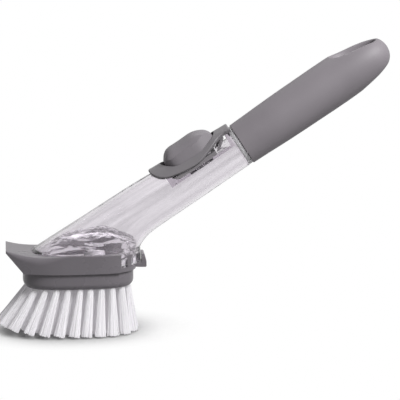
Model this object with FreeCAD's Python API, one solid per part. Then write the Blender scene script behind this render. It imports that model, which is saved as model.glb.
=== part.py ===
import FreeCAD, Part
import math
import os

V = FreeCAD.Vector

# A soap-dispensing dish wand: a clear tapered reservoir on an oval foot, a grey screw-on handle that
# closes the filling neck, a push button over a soft pump, and a snap-on brush head with a pan scraper.
# Frame: +Z up, +X from the brush towards the handle, the symmetry plane at Y = 0, and the origin at
# the end of the middle tuft, on the plane that the bristles stand on.
# Lengths are in millimetres and angles in degrees. Positions along the wand axis are counted from the
# handle joint, positive towards the handle's tip; rises are counted from the wand axis.

# Stance of the wand over its head
TILT = 33.0
JOINT_REACH = 102.0
JOINT_RISE = 75.0

# Heights of the head, built up from the bristle ends
BRISTLE_LENGTH = 28.7
BLOCK_HEIGHT = 10.8
COLLAR_HEIGHT = 11.5
FLOOR_THICKNESS = 2.5

# Foot of the reservoir, in plan
BASE_FRONT_REACH = 28.0
BASE_REAR_REACH = 39.0
BASE_HALF_WIDTH = 20.0
BASE_WALL = 2.6
BASE_SQUARENESS = 2.5
FOOT_STEP = 0.5

# Clear tube of the reservoir
TUBE_RADIUS = 13.4
TUBE_FLARE_SHARE = 0.03
TUBE_RISE_SHARE = 0.017
TUBE_WALL = 2.0
ELBOW_SHARE = 0.62
ELBOW_STEP_SHARES = (0.33, 0.67)
TUBE_STEP_SHARES = (0.33, 0.67)
ROUND = 2.0

# Filling neck, its end wall and its gasket
END_WALL = 3.0
SPIGOT_RADIUS = 10.6
SPIGOT_BORE_RADIUS = 8.6
SPIGOT_LENGTH = 14.0
GASKET_THICKNESS = 2.6
GASKET_INSET = 0.3

# Pocket in the top of the tube, below the button
POCKET_LENGTH = 42.2
POCKET_FLOOR_RISE = 5.8
POCKET_WALL = 2.0
POCKET_CORNER = 7.0

# Button bezel, a leaf that wraps the top of the tube
BEZEL_LENGTH = 57.0
BEZEL_THICKNESS = 2.4
BEZEL_HALF_WIDTH = 14.7
BEZEL_NECK_HALF_WIDTH = 8.0
BEZEL_EDGE_RADIUS = 0.7
BEZEL_END_GAP = 1.0
BEZEL_OUTLINE_SHARES = ((0.994, 0.30), (0.975, 0.56), (0.94, 0.76), (0.87, 0.90), (0.76, 0.965),
                        (0.61, 1.0), (0.48, 0.99), (0.38, 0.92), (0.26, 0.78), (0.17, 0.63))
BEZEL_NECK_SHARES = (0.10, 0.05)
BEZEL_ROOT_RISE = 2.0
LEG_INNER = 5.0
LEG_OUTER = 6.8
LEG_SOLE = 2.2
LEG_TOE = 15.0
LEG_KNEE = 12.4
LEG_KNEE_RISE = 2.2
LEG_THICKNESS = 2.0
LEG_TOP = 7.0
LEG_BITE = 0.7

# Frame that holds the pump down on the pocket floor and closes the slot below the bezel
FRAME_FRONT = 46.5
FRAME_REAR = 15.6
FRAME_WALL = 2.4
FRAME_HEIGHT = 2.1
FRAME_BAR = 3.0
FRAME_BAR_HEIGHT = 1.3
FRAME_BAR_FRONT = 41.0

# Push button
BUTTON_FRONT = 46.0
BUTTON_REAR = 12.0
BUTTON_HALF_WIDTH = 11.4
BUTTON_PEAK_RISE = 23.5
BUTTON_WALL = 1.8
BUTTON_TRAVEL = 3.0
BUTTON_STOP_GAP = 2.4
BUTTON_GAP = 0.4
BUTTON_STATION_SHARES = ((0.0, 0.56, 0.52), (0.06, 0.76, 0.76), (0.13, 0.91, 0.92), (0.32, 1.0, 0.99),
                         (0.55, 0.985, 1.0), (0.72, 0.92, 0.985), (0.86, 0.72, 0.84), (1.0, 0.40, 0.40))
BUTTON_SIDE_SHARE = 0.30
BUTTON_CROWN_SQUARENESS = 2.4
BUTTON_CROWN_POINTS = 8
TAB_HALF_WIDTH = 4.0
TAB_REACH = 1.0
TAB_THICKNESS = 1.8
PLUNGER_RADIUS = 3.4

# Soft pump under the button
PUMP_CENTRE = 28.0
PORT_RADIUS = 5.0
PUMP_RADIUS = 8.6
PUMP_HEIGHT = 8.2
PUMP_WALL = 1.3
PUMP_FLANGE = 1.8
PUMP_LIP = 0.9
PUMP_CROWN_SHARE = 0.62
PUMP_RING_SHARE = 0.86

# Handle grip and its screw plug
GRIP_LENGTH = 108.0
GRIP_RADIUS = 14.75
GRIP_LIFT = 0.7
GRIP_FRONT_RADIUS = 0.6
GRIP_PROFILE_SHARES = ((-0.03, 0.93), (0.22, 0.975), (0.48, 1.0), (0.72, 0.99), (0.85, 0.905),
                       (0.935, 0.72), (0.982, 0.44), (1.0, 0.0))
HOLLOW_LENGTH = 64.0
HOLLOW_RADIUS = 10.6
HANG_HOLE_END = 5.8
HANG_HOLE_LENGTH = 22.5
HANG_HOLE_HALF_WIDTH = 5.2
HANG_HOLE_FLARE = 4.0
HANG_HOLE_UNDER_FLARE = 0.4
HANG_HOLE_RAMP = 8.0
HANG_HOLE_SQUARENESS = 2.6
HANG_HOLE_EDGE_RADIUS = 1.4
PLUG_WALL = 1.5
PLUG_FLOOR = 2.0
PLUG_DEPTH = 14.0
THREAD_CLEARANCE = 0.3

# Collar of the head, with its pan scraper
COLLAR_WALL = 2.1
COLLAR_OVERHANG = 1.5
HEEL_INSET = 3.0
HEEL_OPENING = 13.0
BAND_STEP = 0.3
SCRAPER_REACH = 16.2
LIP_HALF_WIDTH = 14.0
LIP_THICKNESS = 1.4
LIP_RISE = 2.4
LIP_CURL = 3
DECK_DIP = 1.1
BOW_SHOULDER = 6.0
BOW_NOSE_SHARES = (0.0, 0.14, 0.28)
BOW_BODY_SHARES = (0.28, 0.5, 0.75, 1.0)
SIDE_STATION_SHARES = (0.4, 0.75, 1.0)
BOW_EDGE_RADIUS = 0.6
BOW_ROLL_RADIUS = 4.6
CATCH_STEP = 4.0
CATCH_WIDTH = 2.6
CATCH_THICKNESS = 1.2
CATCH_DROP = 1.6

# Brush block
BLOCK_TOE = 0.5
BLOCK_EDGE_RADIUS = 4.2
BLOCK_SQUARENESS = 3.0
BLOCK_BOSS_INSET = 9.5

# Tufts: rings that follow the block's edge, and a short middle row
TUFT_RADIUS = 1.75
TUFT_TIP_RADIUS = 3.2
TUFT_REACH = 29.4
TUFT_DEPTH = 6.6
TUFT_GAP = 0.05
TUFT_PITCH = 6.6
RING_INSETS = (3.7, 9.7, 15.7)
RING_COUNTS = (24, 18, 12)
TUFT_MIDDLE_X = 3.86
MIDDLE_ROW_STEPS = (-1, 0)
SPLAY_X_SHARE = 1.21
SPLAY_FRONT_SHARE = 0.30
SPLAY_REAR_SHARE = 0.09
SPLAY_Y_SHARE = 1.36
ANCHOR_THICKNESS = 0.4
ANCHOR_HEIGHT = 1.4
ANCHOR_BITE = 0.45

# Base plate, outlet and valve
PLATE_LIP = 1.5
PLATE_INSET = 1.6
PLATE_SPIGOT = 2.0
OUTLET_STEP = 1
NOZZLE_RADIUS = 2.6
NOZZLE_LENGTH = 7.6
NOZZLE_BORE_RADIUS = 1.7
OUTLET_BOSS_RADIUS = 6.0
OUTLET_BOSS_HEIGHT = 4.4
VALVE_RADIUS = 4.2
VALVE_FLANGE = 1.0
VALVE_WALL = 0.7
VALVE_LENGTH = 4.6
VALVE_TIP_SHARE = 0.55
VALVE_SLIT = 0.25
RETAINER_HEIGHT = 1.3
RETAINER_BORE_SHARE = 0.6
RING_MINOR_RADIUS = 0.75
RING_SEAT_WALL = 0.35

# Release latch at the heel
LATCH_HALF_WIDTH = 6.0
LATCH_ARM = 5.4
LATCH_KNUCKLE_RADIUS = 1.1
LATCH_PIN_RADIUS = 0.7
LATCH_PIN_LENGTH = 1.4
LATCH_TAB_THICKNESS = 2.9
LATCH_TIP_THICKNESS = 1.7
LATCH_TAB_RISE = 5.8
LATCH_PAD_SHARE = 0.45
LATCH_GAP = 0.5
LATCH_FOOT_DROP = 0.2
LATCH_EDGE_RADIUS = 0.8

# Fits
FIT = 0.1
RUNNING_FIT = 0.05
SLIDE_FIT = 0.3
SOCKET_FIT = 0.4
OVERRUN = 5.0
OUTLINE_POINTS = 24

# Levels that follow from the heights
SEAM_Z = BRISTLE_LENGTH + BLOCK_HEIGHT
FLOOR_Z = SEAM_Z + FLOOR_THICKNESS
RIM_Z = SEAM_Z + COLLAR_HEIGHT
PLATE_Z = FLOOR_Z + SLIDE_FIT
FOOT_Z = PLATE_Z + PLATE_LIP
SHOULDER_Z = RIM_Z - FOOT_STEP
JOINT_Z = SEAM_Z + JOINT_RISE

# Plan sizes that follow from the foot
COLLAR_REAR_REACH = BASE_REAR_REACH - HEEL_INSET
COLLAR_CUT_REACH = BASE_REAR_REACH - HEEL_OPENING
CATCH_REACH = COLLAR_CUT_REACH + CATCH_STEP
LATCH_PIVOT_REACH = BASE_REAR_REACH - LATCH_ARM
LIP_REACH = BASE_FRONT_REACH + SCRAPER_REACH
COLLAR_HALF_WIDTH = BASE_HALF_WIDTH + SOCKET_FIT + COLLAR_WALL
BLOCK_HALF_WIDTH = COLLAR_HALF_WIDTH - COLLAR_OVERHANG
NOSE_ROOT_REACH = LIP_REACH - (LIP_REACH - BOW_SHOULDER) * BOW_NOSE_SHARES[-1]
BLOCK_FRONT_REACH = NOSE_ROOT_REACH + BLOCK_TOE
BLOCK_REAR_REACH = COLLAR_REAR_REACH - COLLAR_OVERHANG
OUTLET_X = TUFT_MIDDLE_X + OUTLET_STEP * TUFT_PITCH

# Stations along the wand that follow from the neck
FLANGE_END = -(GASKET_THICKNESS + 2 * FIT)
POCKET_END = FLANGE_END - END_WALL
POCKET_START = POCKET_END - POCKET_LENGTH
SPIGOT_END = FLANGE_END + SPIGOT_LENGTH
BUTTON_SKIRT_RISE = POCKET_FLOOR_RISE + BUTTON_TRAVEL + BUTTON_STOP_GAP
PLUG_BORE_RADIUS = SPIGOT_RADIUS + THREAD_CLEARANCE
PLUG_RADIUS = PLUG_BORE_RADIUS + PLUG_WALL
PLUG_LENGTH = PLUG_DEPTH + PLUG_FLOOR

COS = math.cos(math.radians(TILT))
SIN = math.sin(math.radians(TILT))


def on_wand(along, rise):
    """The point of the symmetry plane at a place along the wand axis and a rise above it."""
    return V(JOINT_REACH + along * COS - rise * SIN, 0, JOINT_Z + along * SIN + rise * COS)


def seat(shape):
    """A shape built along +X at the origin, set on the wand axis with its origin at the handle joint."""
    turn = FreeCAD.Rotation(V(0, 1, 0), -TILT)
    return shape.transformed(FreeCAD.Placement(on_wand(0, 0), turn).toMatrix())


def tube_radius(along, grow=0.0):
    return TUBE_RADIUS - TUBE_FLARE_SHARE * along + grow


def tube_rise(along):
    return -TUBE_RISE_SHARE * along


def box(low, high):
    return Part.makeBox(high.x - low.x, high.y - low.y, high.z - low.z, low)


def rod(radius, start, end):
    """A cylinder along X from one place to another."""
    return Part.makeCylinder(radius, end - start, V(start, 0, 0), V(1, 0, 0))


def post(radius, x, low, high):
    """An upright cylinder on the symmetry plane."""
    return Part.makeCylinder(radius, high - low, V(x, 0, low))


def power(value, exponent):
    return math.copysign(abs(value) ** exponent, value)


def oval_points(front, rear, half_width, squareness, count=OUTLINE_POINTS):
    """Points of a superellipse between two points of the symmetry plane."""
    middle = (front + rear) * 0.5
    half = (rear - front) * 0.5
    points = []
    for step in range(count):
        angle = 2 * math.pi * step / count
        across = half_width * power(math.sin(angle), 2 / squareness)
        points.append(middle + half * power(math.cos(angle), 2 / squareness) + V(0, across, 0))
    return points


def oval_wire(front, rear, half_width, squareness):
    curve = Part.BSplineCurve()
    curve.interpolate(Points=oval_points(front, rear, half_width, squareness), PeriodicFlag=True)
    return Part.Wire([curve.toShape()])


def halved_oval(front, rear, half_width, squareness):
    """The same oval as two mirrored halves that meet on the symmetry plane."""
    curve = Part.BSplineCurve()
    curve.interpolate(Points=oval_points(front, rear, half_width, squareness), PeriodicFlag=True)
    start = curve.FirstParameter
    end = curve.LastParameter
    middle = (start + end) / 2
    return Part.Wire([curve.toShape(start, middle), curve.toShape(middle, end)])


def oval_prism(front_reach, rear_reach, half_width, squareness, low, high):
    """An upright oval prism of the head."""
    wire = oval_wire(V(-front_reach, 0, low), V(rear_reach, 0, low), half_width, squareness)
    return Part.Face(wire).extrude(V(0, 0, high - low))


def base_prism(grow, low, high):
    """The outline of the reservoir's foot, grown or shrunk, as a prism."""
    front = V(-BASE_FRONT_REACH - grow, 0, low)
    rear = V(BASE_REAR_REACH + grow, 0, low)
    wire = halved_oval(front, rear, BASE_HALF_WIDTH + grow, BASE_SQUARENESS)
    return Part.Face(wire).extrude(V(0, 0, high - low))


def block_prism(inset, low, high):
    """The outline of the brush block, drawn in by an inset, as a prism."""
    return oval_prism(BLOCK_FRONT_REACH - inset, BLOCK_REAR_REACH - inset, BLOCK_HALF_WIDTH - inset,
                      BLOCK_SQUARENESS, low, high)


# Reservoir

def elbow_start():
    """Where the round tube begins to turn into the oval foot."""
    to_foot = on_wand(0, 0) - V((BASE_REAR_REACH - BASE_FRONT_REACH) / 2, 0, SHOULDER_Z)
    return -ELBOW_SHARE * (to_foot.x * COS + to_foot.z * SIN)


def tube_ends(along):
    """The top and bottom points of the round tube at a station."""
    rise = tube_rise(along)
    radius = tube_radius(along)
    return on_wand(along, rise + radius), on_wand(along, rise - radius)


def reservoir_loft(inset_foot, inset_tube, end):
    """The outer skin of the reservoir, or its cavity when inset, from the foot's shoulder to a station."""
    start = elbow_start()
    tube_top, tube_bottom = tube_ends(start)
    front = V(-BASE_FRONT_REACH, 0, SHOULDER_Z)
    rear = V(BASE_REAR_REACH, 0, SHOULDER_Z)
    slope = (tube_ends(0)[1] - tube_bottom).normalize()
    corner = tube_bottom + slope * ((BASE_REAR_REACH - tube_bottom.x) / slope.x)
    sections = [(front, rear, BASE_HALF_WIDTH, inset_foot, BASE_SQUARENESS)]
    for share in reversed(ELBOW_STEP_SHARES):
        keep = 1 - share
        top = tube_top * keep + front * share
        bottom = tube_bottom * keep ** 2 + corner * (2 * keep * share) + rear * share ** 2
        width = tube_radius(start) + (BASE_HALF_WIDTH - tube_radius(start)) * share
        wall = inset_tube + (inset_foot - inset_tube) * share
        sections.append((top, bottom, width, wall, ROUND + (BASE_SQUARENESS - ROUND) * share))
    stations = [start] + [start + (end - start) * share for share in TUBE_STEP_SHARES] + [end]
    for along in stations:
        top, bottom = tube_ends(along)
        sections.append((top, bottom, tube_radius(along), inset_tube, ROUND))
    wires = []
    for top, bottom, width, wall, squareness in sections:
        inward = (bottom - top).normalize() * wall
        wires.append(halved_oval(top + inward, bottom - inward, width - wall, squareness))
    return Part.makeLoft(wires, True, False)


def pocket_box(grow):
    """The cut in the top of the tube below the button, grown by the wall that surrounds it."""
    side = BASE_HALF_WIDTH + OVERRUN
    low = V(POCKET_START - grow, -side, POCKET_FLOOR_RISE - grow)
    high = V(POCKET_END + grow, side, BUTTON_PEAK_RISE + OVERRUN)
    block = box(low, high)
    if grow:
        return seat(block)
    foot = [e for e in block.Edges if max(abs(e.CenterOfMass.x - low.x), abs(e.CenterOfMass.z - low.z)) < FIT]
    return seat(block.makeFillet(POCKET_CORNER, foot))


def catch_band(inset, low, high, margin):
    """The strip of the foot's wall that a catch finger of the collar fills, on both sides."""
    strip = box(V(CATCH_REACH - margin, -BASE_HALF_WIDTH - OVERRUN, low),
                V(CATCH_REACH + CATCH_WIDTH + margin, BASE_HALF_WIDTH + OVERRUN, high))
    return base_prism(0, low, high).cut(base_prism(-inset, low, high)).common(strip)


def reservoir_tube():
    skin = reservoir_loft(0, 0, FLANGE_END).fuse(base_prism(0, FOOT_Z, SHOULDER_Z))
    cavity_end = POCKET_END + POCKET_WALL
    cavity = reservoir_loft(BASE_WALL, TUBE_WALL, cavity_end).cut(pocket_box(POCKET_WALL))
    cavity = cavity.fuse(base_prism(-BASE_WALL, FOOT_Z - OVERRUN, SHOULDER_Z))
    neck = seat(rod(SPIGOT_RADIUS, FLANGE_END, SPIGOT_END))
    bore = seat(rod(SPIGOT_BORE_RADIUS, cavity_end, SPIGOT_END + OVERRUN))
    port_floor = POCKET_FLOOR_RISE - 2 * POCKET_WALL
    port = post(PORT_RADIUS, -PUMP_CENTRE, port_floor, POCKET_FLOOR_RISE)
    grooves = catch_band(CATCH_THICKNESS + SLIDE_FIT, FOOT_Z, RIM_Z - CATCH_DROP + SLIDE_FIT, SLIDE_FIT)
    body = skin.cut(pocket_box(0)).fuse(neck)
    return body.cut([cavity, bore, seat(port), grooves]).removeSplitter()


def neck_gasket():
    outer = tube_radius(0) - GASKET_INSET
    ring = rod(outer, FLANGE_END + FIT, -FIT).cut(rod(SPIGOT_RADIUS + FIT, FLANGE_END, 0))
    return seat(ring)


# Base plate and outlet

def plate_prism(inset, low, high):
    """The outline of the base plate, drawn in from the foot by an inset, as a prism."""
    return oval_prism(BASE_FRONT_REACH - inset, BASE_REAR_REACH - inset, BASE_HALF_WIDTH - inset,
                      BASE_SQUARENESS, low, high)


def base_plate():
    lip = plate_prism(PLATE_INSET, PLATE_Z, FOOT_Z)
    spigot = plate_prism(BASE_WALL + FIT, FOOT_Z, FOOT_Z + PLATE_SPIGOT)
    boss_top = FOOT_Z + PLATE_SPIGOT + OUTLET_BOSS_HEIGHT
    boss = post(OUTLET_BOSS_RADIUS, OUTLET_X, FOOT_Z, boss_top)
    nozzle = post(NOZZLE_RADIUS, OUTLET_X, PLATE_Z - NOZZLE_LENGTH, FOOT_Z)
    seat_z = valve_seat_z()
    well = post(VALVE_RADIUS + FIT, OUTLET_X, seat_z, boss_top + OVERRUN)
    throat = post(VALVE_RADIUS - 2 * VALVE_WALL, OUTLET_X, seat_z - VALVE_LENGTH, seat_z)
    bore = post(NOZZLE_BORE_RADIUS, OUTLET_X, PLATE_Z - NOZZLE_LENGTH - OVERRUN, seat_z)
    return lip.fuse([spigot, boss, nozzle]).cut([well, throat, bore]).removeSplitter()


def valve_seat_z():
    """Top of the shelf in the outlet boss that carries the valve's flange."""
    return FOOT_Z + PLATE_SPIGOT + OUTLET_BOSS_HEIGHT - RETAINER_HEIGHT - VALVE_FLANGE - FIT


def outlet_valve():
    """A soft duckbill: a flange on the shelf and a tapering bill with a slit."""
    shelf = valve_seat_z()
    root = VALVE_RADIUS - 2 * VALVE_WALL - FIT
    tip = root * VALVE_TIP_SHARE
    reach = VALVE_LENGTH - VALVE_WALL
    end = shelf - reach
    flange = post(VALVE_RADIUS, OUTLET_X, shelf, shelf + VALVE_FLANGE)
    bill = Part.makeCone(tip, root, reach, V(OUTLET_X, 0, end))
    hollow = Part.makeCone(tip - VALVE_WALL, root - VALVE_WALL, reach, V(OUTLET_X, 0, end + VALVE_WALL))
    mouth = post(root - VALVE_WALL, OUTLET_X, shelf + VALVE_WALL, shelf + VALVE_FLANGE + OVERRUN)
    slit = box(V(OUTLET_X - VALVE_SLIT / 2, -tip * VALVE_TIP_SHARE, end - OVERRUN),
               V(OUTLET_X + VALVE_SLIT / 2, tip * VALVE_TIP_SHARE, end + 2 * VALVE_WALL))
    return flange.fuse(bill).cut([hollow, mouth, slit])


def valve_retainer():
    low = valve_seat_z() + VALVE_FLANGE
    high = low + RETAINER_HEIGHT
    bore = post(VALVE_RADIUS * RETAINER_BORE_SHARE, OUTLET_X, low - OVERRUN, high + OVERRUN)
    return post(VALVE_RADIUS + FIT / 2, OUTLET_X, low, high).cut(bore)


def outlet_o_ring():
    height = PLATE_Z - RUNNING_FIT - RING_MINOR_RADIUS
    major = NOZZLE_RADIUS + RING_MINOR_RADIUS + RUNNING_FIT
    return Part.makeTorus(major, RING_MINOR_RADIUS, V(OUTLET_X, 0, height))


# Button and pump

def tube_cone(grow, start, end):
    """The tube's tapering outer surface, grown by an offset, as a solid between two stations."""
    wires = []
    for along in (start, end):
        ring = Part.makeCircle(tube_radius(along, grow), V(along, 0, tube_rise(along)), V(1, 0, 0))
        wires.append(Part.Wire([ring]))
    return Part.makeLoft(wires, True, True)


def on_cone(edge, grow):
    """Whether an edge lies on the tube's surface grown by an offset."""
    for place in edge.discretize(Number=OUTLINE_POINTS):
        radius = math.hypot(place.y, place.z - tube_rise(place.x))
        if abs(radius - tube_radius(place.x, grow)) > FIT:
            return False
    return True


def leaf_wire(level):
    """The bezel's outline at a rise: a broad tongue, a wide middle and a neck, all cut square to the tube."""
    end = -BEZEL_END_GAP
    reach = BEZEL_LENGTH - BEZEL_END_GAP
    half = [(end - reach * along, BEZEL_HALF_WIDTH * across) for along, across in BEZEL_OUTLINE_SHARES]
    half += [(end - reach * along, BEZEL_NECK_HALF_WIDTH) for along in BEZEL_NECK_SHARES]
    near = []
    for along, across in half:
        turn = math.asin(across / tube_radius(along, FIT + BEZEL_THICKNESS))
        near.append(V(along, level * math.tan(turn), level))
    far = [V(p.x, -p.y, level) for p in reversed(near)]
    points = far + [V(end - reach, 0, level)] + near
    places = [step / (len(points) - 1) for step in range(len(points))]
    curve = Part.BSplineCurve()
    curve.interpolate(Points=points, Parameters=places)
    last = near[-1]
    side = Part.LineSegment(last, V(end, last.y, level)).toShape()
    close = Part.LineSegment(V(end, last.y, level), V(end, -last.y, level)).toShape()
    back = Part.LineSegment(V(end, -last.y, level), V(last.x, -last.y, level)).toShape()
    return Part.Wire([curve.toShape(), side, close, back])


def button_outline(grow):
    """Plan of the button: a smooth oval through its stations, blunt at the front."""
    half = [(BUTTON_FRONT + (BUTTON_REAR - BUTTON_FRONT) * along, BUTTON_HALF_WIDTH * width)
            for along, width, rise in BUTTON_STATION_SHARES]
    middle = (BUTTON_FRONT + BUTTON_REAR) / 2
    stretch = 1 + 2 * grow / (BUTTON_FRONT - BUTTON_REAR)
    near = [V(-middle - (along - middle) * stretch, width + grow, 0) for along, width in half]
    far = [V(p.x, -p.y, 0) for p in reversed(near)]
    curve = Part.BSplineCurve()
    curve.interpolate(Points=near + far, PeriodicFlag=True)
    return Part.Wire([curve.toShape()])


def bezel_leg(side):
    """A bent leg from the bezel's neck down to the pocket floor, on one side of the button's rear tab."""
    sole = POCKET_FLOOR_RISE + FIT
    heel = LEG_TOE - LEG_SOLE
    knee_rise = sole + LEG_KNEE_RISE
    ankle = LEG_TOP + LEG_THICKNESS
    seat_drop = tube_radius(-LEG_TOP) - math.sqrt(tube_radius(-LEG_TOP) ** 2 - LEG_INNER ** 2)
    top = tube_rise(-LEG_TOP) + tube_radius(-LEG_TOP, FIT) - seat_drop + LEG_BITE
    bend = top - LEG_THICKNESS
    outline = [V(-LEG_TOE, 0, sole), V(-heel, 0, sole), V(-LEG_TOP, 0, bend - LEG_BITE),
               V(-LEG_TOP, 0, top), V(-ankle, 0, top), V(-ankle, 0, bend), V(-LEG_KNEE, 0, knee_rise)]
    leg = Part.Face(Part.makePolygon(outline + outline[:1])).extrude(V(0, LEG_OUTER - LEG_INNER, 0))
    leg.translate(V(0, LEG_INNER if side > 0 else -LEG_OUTER, 0))
    return leg


def button_bezel():
    start = -BEZEL_LENGTH - OVERRUN
    shell = tube_cone(FIT + BEZEL_THICKNESS, start, 0).cut(tube_cone(FIT, start - OVERRUN, OVERRUN))
    high = BUTTON_PEAK_RISE + OVERRUN
    leaf = shell.common(Part.makeLoft([leaf_wire(BEZEL_ROOT_RISE), leaf_wire(high)], True, True))
    opening = Part.Face(button_outline(BUTTON_GAP)).extrude(V(0, 0, high))
    top = [e for e in leaf.Edges if on_cone(e, FIT + BEZEL_THICKNESS)]
    plate = leaf.makeFillet(BEZEL_EDGE_RADIUS, top).cut(opening)
    return seat(plate.fuse([bezel_leg(-1), bezel_leg(1)]).removeSplitter())


def pump_frame():
    """Two rails along the tube's sides on the pocket floor, joined by bars before and behind the pump."""
    low = POCKET_FLOOR_RISE + FIT
    side = tube_radius(-FRAME_FRONT)
    ends = (-FRAME_FRONT - OVERRUN, -FRAME_REAR + OVERRUN)
    rails = tube_cone(-FIT, *ends).cut(tube_cone(-FIT - FRAME_WALL, *ends))
    rails = rails.common(box(V(-FRAME_FRONT, -side, low), V(-FRAME_REAR, side, low + FRAME_HEIGHT)))
    bars = []
    for front in (FRAME_BAR_FRONT, FRAME_REAR + FRAME_BAR):
        bar = box(V(-front, -side, low), V(-front + FRAME_BAR, side, low + FRAME_BAR_HEIGHT))
        bars.append(bar.common(tube_cone(-FIT, *ends)))
    frame = seat(rails.fuse(bars).removeSplitter())
    pocket = pocket_box(0)
    pocket.translate(on_wand(0, FIT) - on_wand(0, 0))
    return frame.common(pocket)


def arch_wire(along, half_width, top, base):
    """One cross-section of the button: straight skirts under a broad round crown."""
    shoulder = base + (top - base) * BUTTON_SIDE_SHARE
    left = V(along, -half_width, base)
    right = V(along, half_width, base)
    points = []
    for step in range(BUTTON_CROWN_POINTS + 1):
        angle = math.pi * step / BUTTON_CROWN_POINTS
        across = half_width * power(math.cos(angle), 2 / BUTTON_CROWN_SQUARENESS)
        rise = (top - shoulder) * math.sin(angle) ** (2 / BUTTON_CROWN_SQUARENESS)
        points.append(V(along, across, shoulder + rise))
    curve = Part.BSplineCurve()
    curve.interpolate(Points=points, InitialTangent=V(0, 0, 1), FinalTangent=V(0, 0, -1))
    edges = [Part.LineSegment(left, right).toShape(), Part.LineSegment(right, points[0]).toShape(),
             curve.toShape(), Part.LineSegment(points[-1], left).toShape()]
    return Part.Wire(edges)


def button_crown(inset):
    """The swelling top of the button, long enough to be trimmed by its outline."""
    wires = []
    for along, width, rise in BUTTON_STATION_SHARES:
        place = -(BUTTON_FRONT + (BUTTON_REAR - BUTTON_FRONT) * along)
        base = BUTTON_SKIRT_RISE - inset
        top = BUTTON_SKIRT_RISE + (BUTTON_PEAK_RISE - BUTTON_SKIRT_RISE) * rise - inset
        wires.append(arch_wire(place, BUTTON_HALF_WIDTH + BUTTON_GAP - inset, top, base))
    return Part.makeLoft(wires, True, False)


def button_tab(end, direction):
    """A tongue at one end of the button that stays hooked under the bezel."""
    edge_drop = tube_radius(end) - math.sqrt(tube_radius(end) ** 2 - TAB_HALF_WIDTH ** 2)
    top = tube_rise(end) + tube_radius(end) - edge_drop - SLIDE_FIT
    stations = sorted((end - direction * BUTTON_WALL, end + direction * TAB_REACH))
    return box(V(stations[0], -TAB_HALF_WIDTH, top - TAB_THICKNESS), V(stations[1], TAB_HALF_WIDTH, top))


def press_button():
    tall = V(0, 0, BUTTON_PEAK_RISE)
    plan = Part.Face(button_outline(0)).extrude(tall)
    inner_plan = Part.Face(button_outline(-BUTTON_WALL)).extrude(tall)
    shell = button_crown(0).common(plan)
    hollow = button_crown(BUTTON_WALL).common(inner_plan)
    ceiling = BUTTON_PEAK_RISE - BUTTON_WALL
    floor = POCKET_FLOOR_RISE + PUMP_HEIGHT + SLIDE_FIT
    plunger = Part.makeCylinder(PLUNGER_RADIUS, ceiling - floor, V(-PUMP_CENTRE, 0, floor))
    tabs = [button_tab(-BUTTON_FRONT, -1), button_tab(-BUTTON_REAR, 1)]
    return seat(shell.cut(hollow).fuse([plunger] + tabs).removeSplitter())


def pump_diaphragm():
    """A soft crowned cup: a flange on the pocket floor, a bead below the port, and a folding wall."""
    floor = POCKET_FLOOR_RISE
    top = floor + PUMP_HEIGHT
    flange_top = floor + PUMP_FLANGE
    bead = floor - POCKET_WALL - FIT
    crown = PUMP_RADIUS * PUMP_CROWN_SHARE
    ring = PUMP_RADIUS * PUMP_RING_SHARE
    neck = PORT_RADIUS - FIT
    outer = [(0, top), (crown, top), (ring, flange_top + PUMP_WALL), (ring, flange_top),
             (PUMP_RADIUS, flange_top), (PUMP_RADIUS, floor + FIT), (neck, floor + FIT), (neck, bead),
             (PORT_RADIUS + PUMP_LIP, bead), (neck, bead - PUMP_FLANGE),
             (neck - PUMP_WALL, bead - PUMP_FLANGE), (neck - PUMP_WALL, floor)]
    inner = [(ring - PUMP_WALL, flange_top), (crown - PUMP_WALL, top - PUMP_WALL), (0, top - PUMP_WALL)]
    points = [V(radius, 0, z) for radius, z in outer + inner]
    face = Part.Face(Part.makePolygon(points + points[:1]))
    cup = face.revolve(V(0, 0, 0), V(0, 0, 1), 360)
    cup.translate(V(-PUMP_CENTRE, 0, 0))
    return seat(cup)


# Handle

def grip_blank():
    """The grip's outer form, turned about an axis that lifts a little towards the tip."""
    points = [V(GRIP_LENGTH * along, 0, GRIP_RADIUS * radius) for along, radius in GRIP_PROFILE_SHARES]
    curve = Part.BSplineCurve()
    curve.interpolate(Points=points, InitialTangent=V(1, 0, 0), FinalTangent=V(0, 0, -1))
    start = points[0]
    foot = V(start.x, 0, 0)
    axis = Part.LineSegment(points[-1], foot).toShape()
    front = Part.LineSegment(foot, start).toShape()
    blank = Part.Face(Part.Wire([curve.toShape(), axis, front])).revolve(V(0, 0, 0), V(1, 0, 0), 360)
    blank.rotate(V(0, 0, 0), V(1, 0, 0), 90)
    blank.rotate(V(0, 0, 0), V(0, 1, 0), -GRIP_LIFT)
    return blank


def hang_hole():
    """A slot through the tip that opens out above and below, with a long ramp on the top side."""
    end = GRIP_LENGTH - HANG_HOLE_END
    height = GRIP_RADIUS + OVERRUN
    levels = [(-height, HANG_HOLE_UNDER_FLARE, HANG_HOLE_UNDER_FLARE), (0, 0, 0),
              (height, HANG_HOLE_FLARE, HANG_HOLE_RAMP)]
    wires = []
    for rise, flare, ramp in levels:
        front = V(end - HANG_HOLE_LENGTH - ramp, 0, rise)
        rear = V(end + flare, 0, rise)
        wires.append(oval_wire(front, rear, HANG_HOLE_HALF_WIDTH + flare, HANG_HOLE_SQUARENESS))
    return Part.makeLoft(wires, True, False)


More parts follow.
